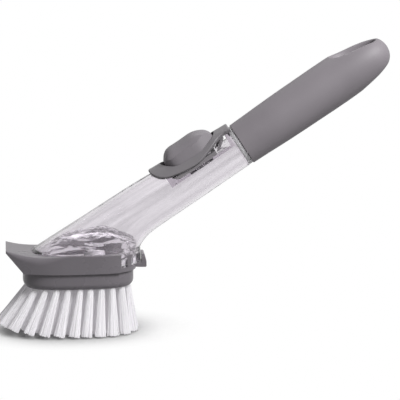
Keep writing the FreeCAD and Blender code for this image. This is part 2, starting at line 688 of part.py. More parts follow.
def handle_grip():
    blank = grip_blank()
    width = GRIP_RADIUS + OVERRUN
    ahead = box(V(-GRIP_LENGTH, -width, -width), V(0, width, width))
    socket = rod(PLUG_RADIUS + FIT, -OVERRUN, PLUG_LENGTH + FIT)
    hollow = rod(HOLLOW_RADIUS, -OVERRUN, HOLLOW_LENGTH)
    body = blank.cut([ahead, hang_hole()])
    front = [e for e in body.Edges if e.BoundBox.XLength < FIT and e.BoundBox.XMax < FIT]
    body = body.makeFillet(GRIP_FRONT_RADIUS, front)
    slot_end = [e for e in body.Edges if e.BoundBox.XMin > GRIP_LENGTH / 2]
    rims = [e for e in slot_end if e.BoundBox.YLength > HANG_HOLE_HALF_WIDTH]
    body = body.makeFillet(HANG_HOLE_EDGE_RADIUS, rims)
    return seat(body.cut([socket, hollow]))


def handle_plug():
    cup = rod(PLUG_RADIUS, FIT, PLUG_LENGTH)
    well = rod(PLUG_BORE_RADIUS, -OVERRUN, PLUG_DEPTH)
    return seat(cup.cut(well))


# Collar

def rim_wire(x, half_width, bottom, top, radius):
    """A cross-section of the collar with its upper edges rolled over."""
    bend = radius * (1 - math.sqrt(0.5))
    corners = []
    for side in (-1, 1):
        wall = side * half_width
        corners.append((V(x, wall, bottom), V(x, wall, top - radius), V(x, wall - side * bend, top - bend),
                        V(x, wall - side * radius, top)))
    near, far = corners
    edges = [Part.LineSegment(near[0], near[1]).toShape(), Part.Arc(near[1], near[2], near[3]).toShape(),
             Part.LineSegment(near[3], far[3]).toShape(), Part.Arc(far[3], far[2], far[1]).toShape(),
             Part.LineSegment(far[1], far[0]).toShape(), Part.LineSegment(far[0], near[0]).toShape()]
    return Part.Wire(edges)


def bow_wire(share):
    """A section of the scraper bow: 0 at the lip, 1 where it joins the sides of the collar."""
    x = -LIP_REACH + (LIP_REACH - BOW_SHOULDER) * share
    half_width = LIP_HALF_WIDTH + (COLLAR_HALF_WIDTH - LIP_HALF_WIDTH) * math.sin(share * math.pi / 2)
    top = RIM_Z + LIP_RISE * (1 - share) ** LIP_CURL - DECK_DIP * math.sin(share * math.pi)
    lip_under = RIM_Z + LIP_RISE - LIP_THICKNESS
    climb_share = min(1.0, share / BOW_NOSE_SHARES[-1])
    bottom = lip_under + (SEAM_Z - lip_under) * climb_share
    radius = BOW_EDGE_RADIUS + BOW_ROLL_RADIUS * math.sin(share * math.pi)
    return rim_wire(x, half_width, bottom, top, radius)


def side_wire(share):
    """A section of the collar's side walls, from the bow's shoulder to the cut at the heel."""
    x = -BOW_SHOULDER + (COLLAR_CUT_REACH + BOW_SHOULDER) * share
    margin = SOCKET_FIT + COLLAR_WALL
    middle = (BASE_REAR_REACH - BASE_FRONT_REACH) / 2
    half = (BASE_REAR_REACH + BASE_FRONT_REACH) / 2 + margin
    offset_share = abs(x - middle) / half
    half_width = COLLAR_HALF_WIDTH * (1 - offset_share ** BASE_SQUARENESS) ** (1 / BASE_SQUARENESS)
    return rim_wire(x, half_width, SEAM_Z, RIM_Z, BOW_EDGE_RADIUS)


def latch_axis():
    return V(LATCH_PIVOT_REACH, 0, SEAM_Z + FLOOR_THICKNESS / 2)


def scraper_collar():
    band = oval_prism(NOSE_ROOT_REACH - BAND_STEP, COLLAR_REAR_REACH, COLLAR_HALF_WIDTH - BAND_STEP,
                      BLOCK_SQUARENESS, SEAM_Z, FLOOR_Z)
    nose = Part.makeLoft([bow_wire(share) for share in BOW_NOSE_SHARES], True, False)
    flanks = [bow_wire(share) for share in BOW_BODY_SHARES]
    flanks += [side_wire(share) for share in SIDE_STATION_SHARES]
    bow = Part.makeLoft(flanks, True, False)
    socket = base_prism(SOCKET_FIT, FLOOR_Z, RIM_Z + OVERRUN)
    floor_hole = boss_prism(FIT, SEAM_Z - OVERRUN, FLOOR_Z + OVERRUN)
    fingers = catch_band(CATCH_THICKNESS, FLOOR_Z, RIM_Z - CATCH_DROP, 0)
    pivot = latch_axis()
    notch_side = LATCH_HALF_WIDTH + SLIDE_FIT
    notch_start = pivot.x - LATCH_KNUCKLE_RADIUS - SLIDE_FIT
    notch = box(V(notch_start, -notch_side, SEAM_Z - OVERRUN),
                V(COLLAR_REAR_REACH + OVERRUN, notch_side, FLOOR_Z + OVERRUN))
    pin_reach = notch_side + LATCH_PIN_LENGTH
    pin_hole = Part.makeCylinder(LATCH_PIN_RADIUS + RUNNING_FIT, 2 * pin_reach,
                                 V(pivot.x, -pin_reach, pivot.z), V(0, 1, 0))
    body = band.fuse([nose, bow]).cut([socket, floor_hole, notch, pin_hole])
    return body.fuse(fingers).removeSplitter()


# Brush block and tufts

def boss_prism(grow, low, high):
    """The raised middle of the block that fills the opening in the collar's floor."""
    return block_prism(BLOCK_BOSS_INSET - grow, low, high)


def tuft_roots():
    """Rings of tuft roots on the underside of the block, then the middle row, as lists of points."""
    rings = []
    for inset, count in zip(RING_INSETS, RING_COUNTS):
        front = V(-BLOCK_FRONT_REACH + inset, 0, BRISTLE_LENGTH)
        rear = V(BLOCK_REAR_REACH - inset, 0, BRISTLE_LENGTH)
        curve = oval_wire(front, rear, BLOCK_HALF_WIDTH - inset, BLOCK_SQUARENESS)
        rings.append(curve.discretize(Number=count + 1)[:-1])
    rings.append([V(TUFT_MIDDLE_X + step * TUFT_PITCH, 0, BRISTLE_LENGTH) for step in MIDDLE_ROW_STEPS])
    return rings


def tuft_tip(root):
    """Where a tuft points: the field splays outwards, most at the scraper end."""
    reach = root.x - TUFT_MIDDLE_X
    end_share = SPLAY_FRONT_SHARE if reach < 0 else SPLAY_REAR_SHARE
    far_share = (reach / BLOCK_FRONT_REACH) ** 2
    return V(reach * (SPLAY_X_SHARE + end_share * far_share), root.y * SPLAY_Y_SHARE, 0)


def tuft_axis(root):
    return (tuft_tip(root) - root).normalize()


def tuft(root):
    axis = tuft_axis(root)
    shank = Part.makeCylinder(TUFT_RADIUS, TUFT_DEPTH, root - axis * TUFT_DEPTH, axis)
    spread = TUFT_TIP_RADIUS - TUFT_RADIUS
    overlong = TUFT_REACH + OVERRUN
    brush = Part.makeCone(TUFT_RADIUS, TUFT_RADIUS + spread * overlong / TUFT_REACH, overlong, root, axis)
    return shank.fuse(brush)


def tuft_anchor(root):
    """The flat staple that a tuft is folded over, biting into both sides of its hole."""
    axis = tuft_axis(root)
    width = 2 * (TUFT_RADIUS + TUFT_GAP + ANCHOR_BITE)
    plate = Part.makeBox(ANCHOR_THICKNESS, width, ANCHOR_HEIGHT,
                         V(-ANCHOR_THICKNESS / 2, -width / 2, TUFT_DEPTH - 2 * ANCHOR_HEIGHT))
    turn = FreeCAD.Rotation(V(0, 0, 1), -axis)
    return plate.transformed(FreeCAD.Placement(root, turn).toMatrix())


def tuft_hole(root):
    axis = tuft_axis(root)
    depth = TUFT_DEPTH + TUFT_GAP
    return Part.makeCylinder(TUFT_RADIUS + TUFT_GAP, depth + OVERRUN, root - axis * depth, axis)


def trimmed_tufts(roots):
    """Tufts of one ring, cut level where they would reach below the standing plane."""
    field = LIP_REACH + TUFT_REACH
    above = box(V(-field, -field, 0), V(field, field, SEAM_Z))
    bundle = []
    for root in roots:
        axis = tuft_axis(root)
        end = Part.makeCylinder(TUFT_REACH, 2 * OVERRUN, root + axis * TUFT_REACH, axis)
        bundle.append(tuft(root).cut([end, tuft_anchor(root)]).common(above))
    return Part.makeCompound(bundle)


def bristle_block(roots):
    body = block_prism(0, BRISTLE_LENGTH, SEAM_Z)
    under = [e for e in body.Edges if e.BoundBox.ZMax < BRISTLE_LENGTH + FIT]
    body = body.makeFillet(BLOCK_EDGE_RADIUS, under)
    boss = boss_prism(0, SEAM_Z, FLOOR_Z)
    above = FLOOR_Z + OVERRUN
    ring_seat = PLATE_Z - 2 * RING_MINOR_RADIUS - 2 * RUNNING_FIT
    ring_well = post(NOZZLE_RADIUS + 2 * RING_MINOR_RADIUS + RING_SEAT_WALL, OUTLET_X, ring_seat, above)
    nozzle_end = PLATE_Z - NOZZLE_LENGTH - SLIDE_FIT
    nozzle_well = post(NOZZLE_RADIUS + SLIDE_FIT, OUTLET_X, nozzle_end, above)
    drip = post(NOZZLE_BORE_RADIUS, OUTLET_X, BRISTLE_LENGTH - OVERRUN, FLOOR_Z)
    cuts = [ring_well, nozzle_well, drip] + [tuft_hole(r) for r in roots] + [tuft_anchor(r) for r in roots]
    return body.fuse(boss).cut(cuts).removeSplitter()


# Release latch

def release_latch():
    """A heel lever: a knuckle with two trunnions, an arm under the foot and a thumb tab behind it."""
    pivot = latch_axis()
    tab_in = BASE_REAR_REACH + LATCH_GAP
    tab_out = tab_in + LATCH_TAB_THICKNESS
    tip_out = tab_in + LATCH_TIP_THICKNESS
    low = pivot.z - LATCH_KNUCKLE_RADIUS
    arm_top = pivot.z + LATCH_KNUCKLE_RADIUS
    tab_top = arm_top + LATCH_TAB_RISE
    heel = low - LATCH_FOOT_DROP
    pad_top = heel + (tab_top - heel) * LATCH_PAD_SHARE
    outline = [V(pivot.x, 0, low), V((pivot.x + tab_in) / 2, 0, low), V(tab_in, 0, heel),
               V(tab_out, 0, heel), V(tab_out, 0, pad_top), V(tip_out, 0, tab_top), V(tab_in, 0, tab_top),
               V(tab_in, 0, arm_top), V(pivot.x, 0, arm_top)]
    arm = Part.Face(Part.makePolygon(outline + outline[:1])).extrude(V(0, 2 * LATCH_HALF_WIDTH, 0))
    arm.translate(V(0, -LATCH_HALF_WIDTH, 0))
    back = [e for e in arm.Edges if e.BoundBox.XMin > tip_out - FIT and e.BoundBox.YLength > LATCH_HALF_WIDTH]
    arm = arm.makeFillet(LATCH_EDGE_RADIUS, back)
    knuckle = Part.makeCylinder(LATCH_KNUCKLE_RADIUS, 2 * LATCH_HALF_WIDTH,
                                V(pivot.x, -LATCH_HALF_WIDTH, pivot.z), V(0, 1, 0))
    reach = LATCH_HALF_WIDTH + LATCH_PIN_LENGTH
    pin = Part.makeCylinder(LATCH_PIN_RADIUS, 2 * reach, V(pivot.x, -reach, pivot.z), V(0, 1, 0))
    return arm.fuse([knuckle, pin]).removeSplitter()


def main():
    os.makedirs("parts", exist_ok=True)
    rings = tuft_roots()
    roots = [root for ring in rings for root in ring]
    nodes = {
        "reservoir_tube": reservoir_tube(),
        "neck_gasket": neck_gasket(),
        "base_plate": base_plate(),
        "outlet_valve": outlet_valve(),
        "valve_retainer": valve_retainer(),
        "outlet_o_ring": outlet_o_ring(),
        "button_bezel": button_bezel(),
        "press_button": press_button(),
        "pump_diaphragm": pump_diaphragm(),
        "pump_frame": pump_frame(),
        "handle_grip": handle_grip(),
        "handle_plug": handle_plug(),
        "scraper_collar": scraper_collar(),
        "bristle_block": bristle_block(roots),
        "bristles_outer": trimmed_tufts(rings[0]),
        "bristles_middle": trimmed_tufts(rings[1]),
        "bristles_inner": trimmed_tufts(rings[2] + rings[3]),
        "tuft_anchors": Part.makeCompound([tuft_anchor(root) for root in roots]),
        "release_latch": release_latch(),
    }
    for name, shape in nodes.items():
        shape.exportStep(os.path.join("parts", name + ".step"))
        print(name, "solids", len(shape.Solids), "volume", round(shape.Volume, 1), "valid", shape.isValid())


main()
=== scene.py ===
# %% [markdown]
# # A soap-dispensing dish wand
# The wand is a clear tube of soap with a grey handle at one end and a brush head at the other.
# The imported CAD model is the fixed frame: every piece here is made in the same place and in metres.

# %% Load the frame
import math
import random

import bmesh
import bpy
from mathutils import Matrix, Vector, noise


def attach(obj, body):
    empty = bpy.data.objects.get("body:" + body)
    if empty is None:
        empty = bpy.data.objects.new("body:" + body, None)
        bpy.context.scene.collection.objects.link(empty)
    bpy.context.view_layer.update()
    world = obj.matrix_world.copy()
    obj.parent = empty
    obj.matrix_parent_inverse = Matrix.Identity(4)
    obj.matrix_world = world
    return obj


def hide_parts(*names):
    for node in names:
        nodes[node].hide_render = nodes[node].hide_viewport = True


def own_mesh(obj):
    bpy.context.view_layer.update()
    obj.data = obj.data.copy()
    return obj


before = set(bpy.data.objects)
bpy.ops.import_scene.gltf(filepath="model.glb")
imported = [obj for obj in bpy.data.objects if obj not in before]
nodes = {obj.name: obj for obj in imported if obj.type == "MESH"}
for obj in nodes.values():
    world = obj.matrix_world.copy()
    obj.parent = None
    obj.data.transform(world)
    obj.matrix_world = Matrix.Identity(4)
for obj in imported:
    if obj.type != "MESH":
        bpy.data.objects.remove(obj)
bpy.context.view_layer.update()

scene = bpy.context.scene

# %% [markdown]
# The photograph was taken with a long lens from a little above the worktop, nearly square to the wand.
# A camera can be placed by eye, but here its place and focal length come from fitting known points
# of the wand to the picture, so that the render and the photograph can be laid over each other.

# %% Camera
MM = 0.001
PHOTO_PIXELS = 400
FOCAL_PIXELS = 1915
SENSOR_WIDTH = 36.0
FARTHEST_SEEN = 20.0
CAMERA_PLACE = Vector((-41.7, -1156.0, 324.8)) * MM
CAMERA_AIM = Vector((76.3, 0.0, 79.8)) * MM


def aimed(place, aim):
    """The turn that points a camera or a lamp from its place to an aim."""
    return (aim - place).to_track_quat("-Z", "Y").to_euler()


camera_data = bpy.data.cameras.new("photo_camera")
camera_data.sensor_width = SENSOR_WIDTH
camera_data.lens = SENSOR_WIDTH * FOCAL_PIXELS / PHOTO_PIXELS
camera_data.clip_end = FARTHEST_SEEN
camera = bpy.data.objects.new("photo_camera", camera_data)
camera.location = CAMERA_PLACE
camera.rotation_euler = aimed(CAMERA_PLACE, CAMERA_AIM)
scene.collection.objects.link(camera)
scene.camera = camera
print("lens in mm:", round(camera_data.lens, 1))

# %% [markdown]
# The surround, the floor and the finishes are all made of shader nodes. They could be wired by hand in the
# editor, but a script shows each step and can be run again. Five small helpers keep it short: they add a
# node, set its sockets, link two sockets, carry a value from one span to another, and let one value give
# way to a second.

# %% Node helpers


def link(tree, source, target):
    tree.links.new(source, target)


def add(tree, kind, place=(0, 0), **settings):
    """A node of a kind, at a place in the editor, with some of its settings."""
    node = tree.nodes.new(kind)
    node.location = place
    for name, value in settings.items():
        setattr(node, name, value)
    return node


def set_inputs(node, **values):
    """Sets sockets by name, with _ for the spaces in it."""
    for name, value in values.items():
        node.inputs[name.replace("_", " ")].default_value = value


def ramped(tree, value, span, result, place, **settings):
    """A value carried from one span to another."""
    node = add(tree, "ShaderNodeMapRange", place, **settings)
    link(tree, value, node.inputs["Value"])
    set_inputs(node, From_Min=span[0], From_Max=span[1], To_Min=result[0], To_Max=result[1])
    return node.outputs["Result"]


def chosen(tree, share, first, second, place):
    """A value, or the socket of one, that gives way to another by a share."""
    node = add(tree, "ShaderNodeMix", place, data_type="FLOAT")
    link(tree, share, node.inputs["Factor"])
    for name, source in (("A", first), ("B", second)):
        if isinstance(source, float):
            node.inputs[name].default_value = source
        else:
            link(tree, source, node.inputs[name])
    return node.outputs["Result"]


print("node helpers:", [helper.__name__ for helper in (link, add, set_inputs, ramped, chosen)])

# %% [markdown]
# A product photograph has a white surround. Here it is pure white where the camera sees it and dim as a
# light source, so the greys keep their depth. A plain white world would wash out the clear plastic, so
# seen through the plastic the surround is white straight behind and greyer to the sides, which draws the
# dark lines that real clear plastic shows along its edges. In reflections it is bright behind the wand and
# dim on the camera's side.

# %% Surround
AMBIENT = 0.12
MIRRORED_SPAN, MIRRORED_STRENGTH = (-0.9, 0.5), (0.20, 0.75)
THROUGH_SPAN, THROUGH_STRENGTH = (0.30, 0.96), (0.45, 1.0)
PURE_WHITE = 1.0


def surround_nodes(tree):
    tree.nodes.clear()
    path = add(tree, "ShaderNodeLightPath", (-1000, 300))
    way = add(tree, "ShaderNodeTexCoord", (-1200, -100))
    split = add(tree, "ShaderNodeSeparateXYZ", (-1000, -100))
    link(tree, way.outputs["Generated"], split.inputs[0])
    backward = split.outputs["Y"]
    mirrored = ramped(tree, backward, MIRRORED_SPAN, MIRRORED_STRENGTH, (-760, -60))
    through = ramped(tree, backward, THROUGH_SPAN, THROUGH_STRENGTH, (-760, -320))
    strength = chosen(tree, path.outputs["Is Glossy Ray"], AMBIENT, mirrored, (-520, 0))
    strength = chosen(tree, path.outputs["Is Transmission Ray"], strength, through, (-320, 50))
    strength = chosen(tree, path.outputs["Is Camera Ray"], strength, PURE_WHITE, (-120, 100))
    glow = add(tree, "ShaderNodeBackground", (80, 100))
    set_inputs(glow, Color=(1.0, 1.0, 1.0, 1.0))
    link(tree, strength, glow.inputs["Strength"])
    end = add(tree, "ShaderNodeOutputWorld", (280, 100))
    link(tree, glow.outputs["Background"], end.inputs["Surface"])


scene.view_settings.view_transform = "Standard"
world = bpy.data.worlds.new("white_surround")
world.use_nodes = True
scene.world = world
surround_nodes(world.node_tree)
print("surround:", world.name, "with", len(world.node_tree.nodes), "nodes")

# %% [markdown]
# The main light is a large soft lamp beside the camera, high and to the right. A weak second lamp above
# and behind throws the short shadow that lies in front of the bristles. A sun lamp would draw hard edges,
# so both are area lamps.

# %% Lamps
LAMP_AIM = Vector((0.08, 0.0, 0.08))
KEY_PLACE, KEY_SIDE, KEY_WATTS = Vector((0.65, -0.68, 0.89)), 0.5, 15.0
BACK_PLACE, BACK_SIDE, BACK_WATTS = Vector((0.00, 0.50, 0.80)), 0.4, 1.2


def soft_lamp(name, place, side, watts):
    lamp = bpy.data.lights.new(name, "AREA")
    lamp.shape = "SQUARE"
    lamp.size = side
    lamp.energy = watts
    lamp_object = bpy.data.objects.new(name, lamp)
    lamp_object.location = place
    lamp_object.rotation_euler = aimed(place, LAMP_AIM)
    scene.collection.objects.link(lamp_object)


soft_lamp("key_lamp", KEY_PLACE, KEY_SIDE, KEY_WATTS)
soft_lamp("back_lamp", BACK_PLACE, BACK_SIDE, BACK_WATTS)

# %% [markdown]
# The floor is a white sheet under the bristles. A floor as white as the surround would light the wand from
# below, so it is white only to the camera, through clear plastic and, by half, in reflections. A little way
# out it fades to the white of the surround, so its rim doesn't show. Both need a mask: one by the kind of
# ray that meets the floor, and one by the distance from the middle.

# %% Masks of the floor
FLOOR_MIRRORED_SHARE = 0.5
FADE_SPAN = (0.026, 0.052)
FADE_STRETCH = (1.5, 1.0, 1.0)


def joined(tree, operation, first, second, place):
    """Two values made one by an arithmetic step."""
    node = add(tree, "ShaderNodeMath", place, operation=operation)
    link(tree, first, node.inputs[0])
    link(tree, second, node.inputs[1])
    return node.outputs[0]


def seen_white(tree):
    """How far a ray sees the floor as white: camera and see-through rays fully, mirrored ones by a share."""
    path = add(tree, "ShaderNodeLightPath", (-900, 100))
    mirror = add(tree, "ShaderNodeMath", (-900, 300), operation="MULTIPLY_ADD")
    mirror.inputs[1].default_value = FLOOR_MIRRORED_SHARE
    link(tree, path.outputs["Is Glossy Ray"], mirror.inputs[0])
    link(tree, path.outputs["Is Transmission Ray"], mirror.inputs[2])
    return joined(tree, "MAXIMUM", path.outputs["Is Camera Ray"], mirror.outputs[0], (-700, 100))


def far_out(tree):
    """0 near the middle of the floor and 1 outside an oval round it."""
    where = add(tree, "ShaderNodeTexCoord", (-1300, -200))
    oval = add(tree, "ShaderNodeMapping", (-1100, -200), vector_type="TEXTURE")
    set_inputs(oval, Scale=FADE_STRETCH)
    reach = add(tree, "ShaderNodeVectorMath", (-900, -200), operation="LENGTH")
    link(tree, where.outputs["Object"], oval.inputs["Vector"])
    link(tree, oval.outputs["Vector"], reach.inputs[0])
    return ramped(tree, reach.outputs["Value"], FADE_SPAN, (0.0, 1.0), (-700, -200),
                  interpolation_type="SMOOTHSTEP")


print("floor fades from", FADE_SPAN[0], "to", FADE_SPAN[1], "m, and longer in X")

# %% [markdown]
# The floor takes the soft shadow of the brush, and close to the tips a darker contact shadow, as a real
# worktop does. More lamps could darken that spot, but they would change the wand as well, so an ambient
# occlusion node finds where the light is shut out. A faint glow lifts the rest of the shadow.

# %% Floor material
FLOOR_WHITE = 0.90
FLOOR_LIFT = 0.10
FLOOR_BOUNCE = 0.25
CONTACT_REACH = 0.035
CONTACT_SPAN = (0.35, 0.95)
CONTACT_DARK = 0.30


def floor_material():
    material = bpy.data.materials.new("white_floor")
    material.use_nodes = True
    tree = material.node_tree
    tree.nodes.clear()
    seen = seen_white(tree)
    near = add(tree, "ShaderNodeAmbientOcclusion", (-1100, 500))
    set_inputs(near, Distance=CONTACT_REACH)
    contact = ramped(tree, near.outputs["AO"], CONTACT_SPAN, (CONTACT_DARK, 1.0), (-900, 500))
    shaded = ramped(tree, contact, (0.0, 1.0), (0.0, FLOOR_WHITE), (-700, 500))
    paper = add(tree, "ShaderNodeBsdfDiffuse", (-500, 260))
    link(tree, chosen(tree, seen, FLOOR_BOUNCE, shaded, (-700, 300)), paper.inputs["Color"])
    lifted = ramped(tree, contact, (0.0, 1.0), (0.0, FLOOR_LIFT), (-700, 700))
    lift = add(tree, "ShaderNodeEmission", (-300, 100))
    link(tree, joined(tree, "MULTIPLY", seen, lifted, (-500, 100)), lift.inputs["Strength"])
    both = add(tree, "ShaderNodeAddShader", (-100, 200))
    link(tree, paper.outputs[0], both.inputs[0])
    link(tree, lift.outputs[0], both.inputs[1])
    white = add(tree, "ShaderNodeEmission", (-100, -60))
    blend = add(tree, "ShaderNodeMixShader", (100, 100))
    link(tree, joined(tree, "MULTIPLY", seen, far_out(tree), (-500, -100)), blend.inputs["Fac"])
    link(tree, both.outputs[0], blend.inputs[1])
    link(tree, white.outputs[0], blend.inputs[2])
    end = add(tree, "ShaderNodeOutputMaterial", (300, 100))
    link(tree, blend.outputs[0], end.inputs["Surface"])
    return material


white_floor = floor_material()
print("floor material:", white_floor.name)

# %% [markdown]
# The sheet itself is one square face. It lies a hair under the bristle tips, so that they don't cut it.
# It isn't part of the wand.

# %% Floor sheet
FLOOR_HALF = 0.30
FLOOR_DROP = 0.0004

floor_bm = bmesh.new()
bmesh.ops.create_grid(floor_bm, x_segments=1, y_segments=1, size=FLOOR_HALF)
bmesh.ops.translate(floor_bm, vec=(0, 0, -FLOOR_DROP), verts=floor_bm.verts)
floor_mesh = bpy.data.meshes.new("floor")
floor_bm.to_mesh(floor_mesh)
floor_bm.free()
floor = bpy.data.objects.new("floor", floor_mesh)
floor.data.materials.append(white_floor)
scene.collection.objects.link(floor)
print("floor at", -FLOOR_DROP)

# %% [markdown]
# All the moulded plastics share one effect: a skin with a very fine grain, slightly uneven gloss and
# a faint drift of tone, as any moulding has. Each material could hold its own copy of these nodes, but
# they are built once as a node group, and each material places it with its own gloss. The group gives
# only masks and a height: the shader itself stays in each material.

# %% Moulded skin group
SKIN_GRAIN, SKIN_DRIFT = 2600.0, 38.0
SKIN_GLOSS = (0.42, 0.52)
GRAIN_DETAIL, DRIFT_DETAIL = 3.0, 4.0
DRIFT_SPAN = (0.3, 0.7)


def moulded_skin_group():
    group = bpy.data.node_groups.new("moulded_skin", "ShaderNodeTree")
    face = group.interface
    for name, value in (("Grain", SKIN_GRAIN), ("Drift", SKIN_DRIFT),
                        ("Gloss Low", SKIN_GLOSS[0]), ("Gloss High", SKIN_GLOSS[1])):
        face.new_socket(name, in_out="INPUT", socket_type="NodeSocketFloat").default_value = value
    for name in ("Tone", "Roughness", "Height"):
        face.new_socket(name, in_out="OUTPUT", socket_type="NodeSocketFloat")
    start = add(group, "NodeGroupInput", (-700, 0))
    end = add(group, "NodeGroupOutput", (300, 0))
    where = add(group, "ShaderNodeTexCoord", (-700, -250))
    grain = add(group, "ShaderNodeTexNoise", (-400, 150))
    set_inputs(grain, Detail=GRAIN_DETAIL)
    drift = add(group, "ShaderNodeTexNoise", (-400, -150))
    set_inputs(drift, Detail=DRIFT_DETAIL)
    for node, name in ((grain, "Grain"), (drift, "Drift")):
        link(group, where.outputs["Object"], node.inputs["Vector"])
        link(group, start.outputs[name], node.inputs["Scale"])
    gloss = add(group, "ShaderNodeMapRange", (0, 0))
    set_inputs(gloss, From_Min=DRIFT_SPAN[0], From_Max=DRIFT_SPAN[1])
    link(group, drift.outputs["Fac"], gloss.inputs["Value"])
    link(group, start.outputs["Gloss Low"], gloss.inputs["To Min"])
    link(group, start.outputs["Gloss High"], gloss.inputs["To Max"])
    link(group, drift.outputs["Fac"], end.inputs["Tone"])
    link(group, gloss.outputs["Result"], end.inputs["Roughness"])
    link(group, grain.outputs["Fac"], end.inputs["Height"])
    return group


moulded_skin = moulded_skin_group()
print("group:", moulded_skin.name)

# %% [markdown]
# The handle and the button are a soft-touch grey with little gloss, and the head is a darker, glossier one.
# Silicone and the frosted plate of the foot are milky: part of the light goes through them. Each finish
# could be wired by itself, but one function keeps them alike: a Principled shader fed by the group, with
# its tone between two close colours and a shallow bump from the grain. The wire that anchors the tufts
# takes the same skin, as metal.

# %% Moulded materials
SKIN_DEPTH = 0.12
GRAIN_HEIGHT = 0.0002


def new_material(name):
    """A node material with only a Principled shader, its tree, the shader and the output."""
    material = bpy.data.materials.new(name)
    material.use_nodes = True
    tree = material.node_tree
    tree.nodes.clear()
    shader = add(tree, "ShaderNodeBsdfPrincipled", (200, 0))
    end = add(tree, "ShaderNodeOutputMaterial", (700, 0))
    link(tree, shader.outputs["BSDF"], end.inputs["Surface"])
    return material, tree, shader, end


def colour_between(tree, mask, span, colours, place):
    """Two colours blended by a mask, over a span of it."""
    ramp = add(tree, "ShaderNodeValToRGB", place)
    for element, position, colour in zip(ramp.color_ramp.elements, span, colours):
        element.position = position
        element.color = (*colour, 1.0)
    link(tree, mask, ramp.inputs["Fac"])
    return ramp.outputs["Color"]


def bumped(tree, height, strength, distance, place):
    bump = add(tree, "ShaderNodeBump", place)
    set_inputs(bump, Strength=strength, Distance=distance)
    link(tree, height, bump.inputs["Height"])
    return bump.outputs["Normal"]


def moulded(name, dark, light, gloss, **constants):
    material, tree, shader, _ = new_material(name)
    skin = add(tree, "ShaderNodeGroup", (-500, 0), node_tree=moulded_skin)
    set_inputs(skin, Gloss_Low=gloss[0], Gloss_High=gloss[1])
    colour = colour_between(tree, skin.outputs["Tone"], DRIFT_SPAN, (dark, light), (-250, 150))
    link(tree, colour, shader.inputs["Base Color"])
    link(tree, skin.outputs["Roughness"], shader.inputs["Roughness"])
    normal = bumped(tree, skin.outputs["Height"], SKIN_DEPTH, GRAIN_HEIGHT, (-50, -250))
    link(tree, normal, shader.inputs["Normal"])
    set_inputs(shader, **constants)
    return material


handle_grey = moulded("handle_soft_touch", (0.268, 0.245, 0.268), (0.296, 0.271, 0.296), (0.50, 0.60))
head_grey = moulded("head_satin_grey", (0.190, 0.174, 0.193), (0.210, 0.193, 0.213), (0.25, 0.33))
bezel_grey = moulded("bezel_satin_grey", (0.225, 0.212, 0.227), (0.250, 0.236, 0.251), (0.35, 0.45))
button_grey = moulded("button_soft_touch", (0.255, 0.235, 0.257), (0.283, 0.261, 0.285), (0.50, 0.60))
plug_grey = moulded("plug_grey", (0.190, 0.176, 0.191), (0.210, 0.195, 0.211), (0.35, 0.45))
white_plastic = moulded("white_plastic", (0.74, 0.74, 0.75), (0.78, 0.78, 0.79), (0.30, 0.40))
silicone = moulded("milky_silicone", (0.82, 0.81, 0.83), (0.88, 0.87, 0.89), (0.30, 0.40),
                   Transmission_Weight=0.5, IOR=1.41)
frosted_plastic = moulded("frosted_plastic", (0.84, 0.83, 0.85), (0.90, 0.89, 0.91), (0.40, 0.50),
                          Transmission_Weight=0.4, IOR=1.49)
wire_steel = moulded("anchor_wire", (0.55, 0.55, 0.57), (0.62, 0.62, 0.64), (0.25, 0.35), Metallic=1.0)
print("materials so far:", len(bpy.data.materials))

# %% [markdown]
# The tube is clear plastic: light bends at every wall, and long flow marks from the mould run along it.
# The flow marks are a noise that is stretched along the wand's axis, and they bend the normal a little.
# The same noise also shifts the tint in soft streaks, which is painted shade and light: darker and lighter
# bands that stand in for the surround reflected in the walls and seen through them. The plastic also takes
# some colour from light by the depth it goes through, which greys the walls that are seen edge-on. A glass
# shader alone throws a full shadow, and the inside of the tube would be dark, so most of a lamp's light is
# let straight through. The soap is made the same way, nearly colourless, with short ripples in place of
# flow marks.

# %% Clear materials
TILT = math.radians(33.0)
CLEAR_PASS_SHARE = 0.85
CLEAR_DENSITY = 120.0
MARK_AND_BAND_DETAIL = 2.0
# The span of the noise over which the tint goes from its painted shade bands to its lighter ones
PAINTED_BAND_SPAN = (0.35, 0.65)
MARK_HEIGHT = 0.0004


def let_light_pass(tree, shader, end, share):
    """A shader throws only part of a shadow: a share of the light goes straight on."""
    path = add(tree, "ShaderNodeLightPath", (0, 400))
    part = add(tree, "ShaderNodeMath", (200, 400), operation="MULTIPLY")
    part.inputs[1].default_value = share
    link(tree, path.outputs["Is Shadow Ray"], part.inputs[0])
    open_way = add(tree, "ShaderNodeBsdfTransparent", (200, 200))
    both = add(tree, "ShaderNodeMixShader", (500, 200))
    link(tree, part.outputs[0], both.inputs["Fac"])
    link(tree, shader.outputs["BSDF"], both.inputs[1])
    link(tree, open_way.outputs[0], both.inputs[2])
    link(tree, both.outputs[0], end.inputs["Surface"])


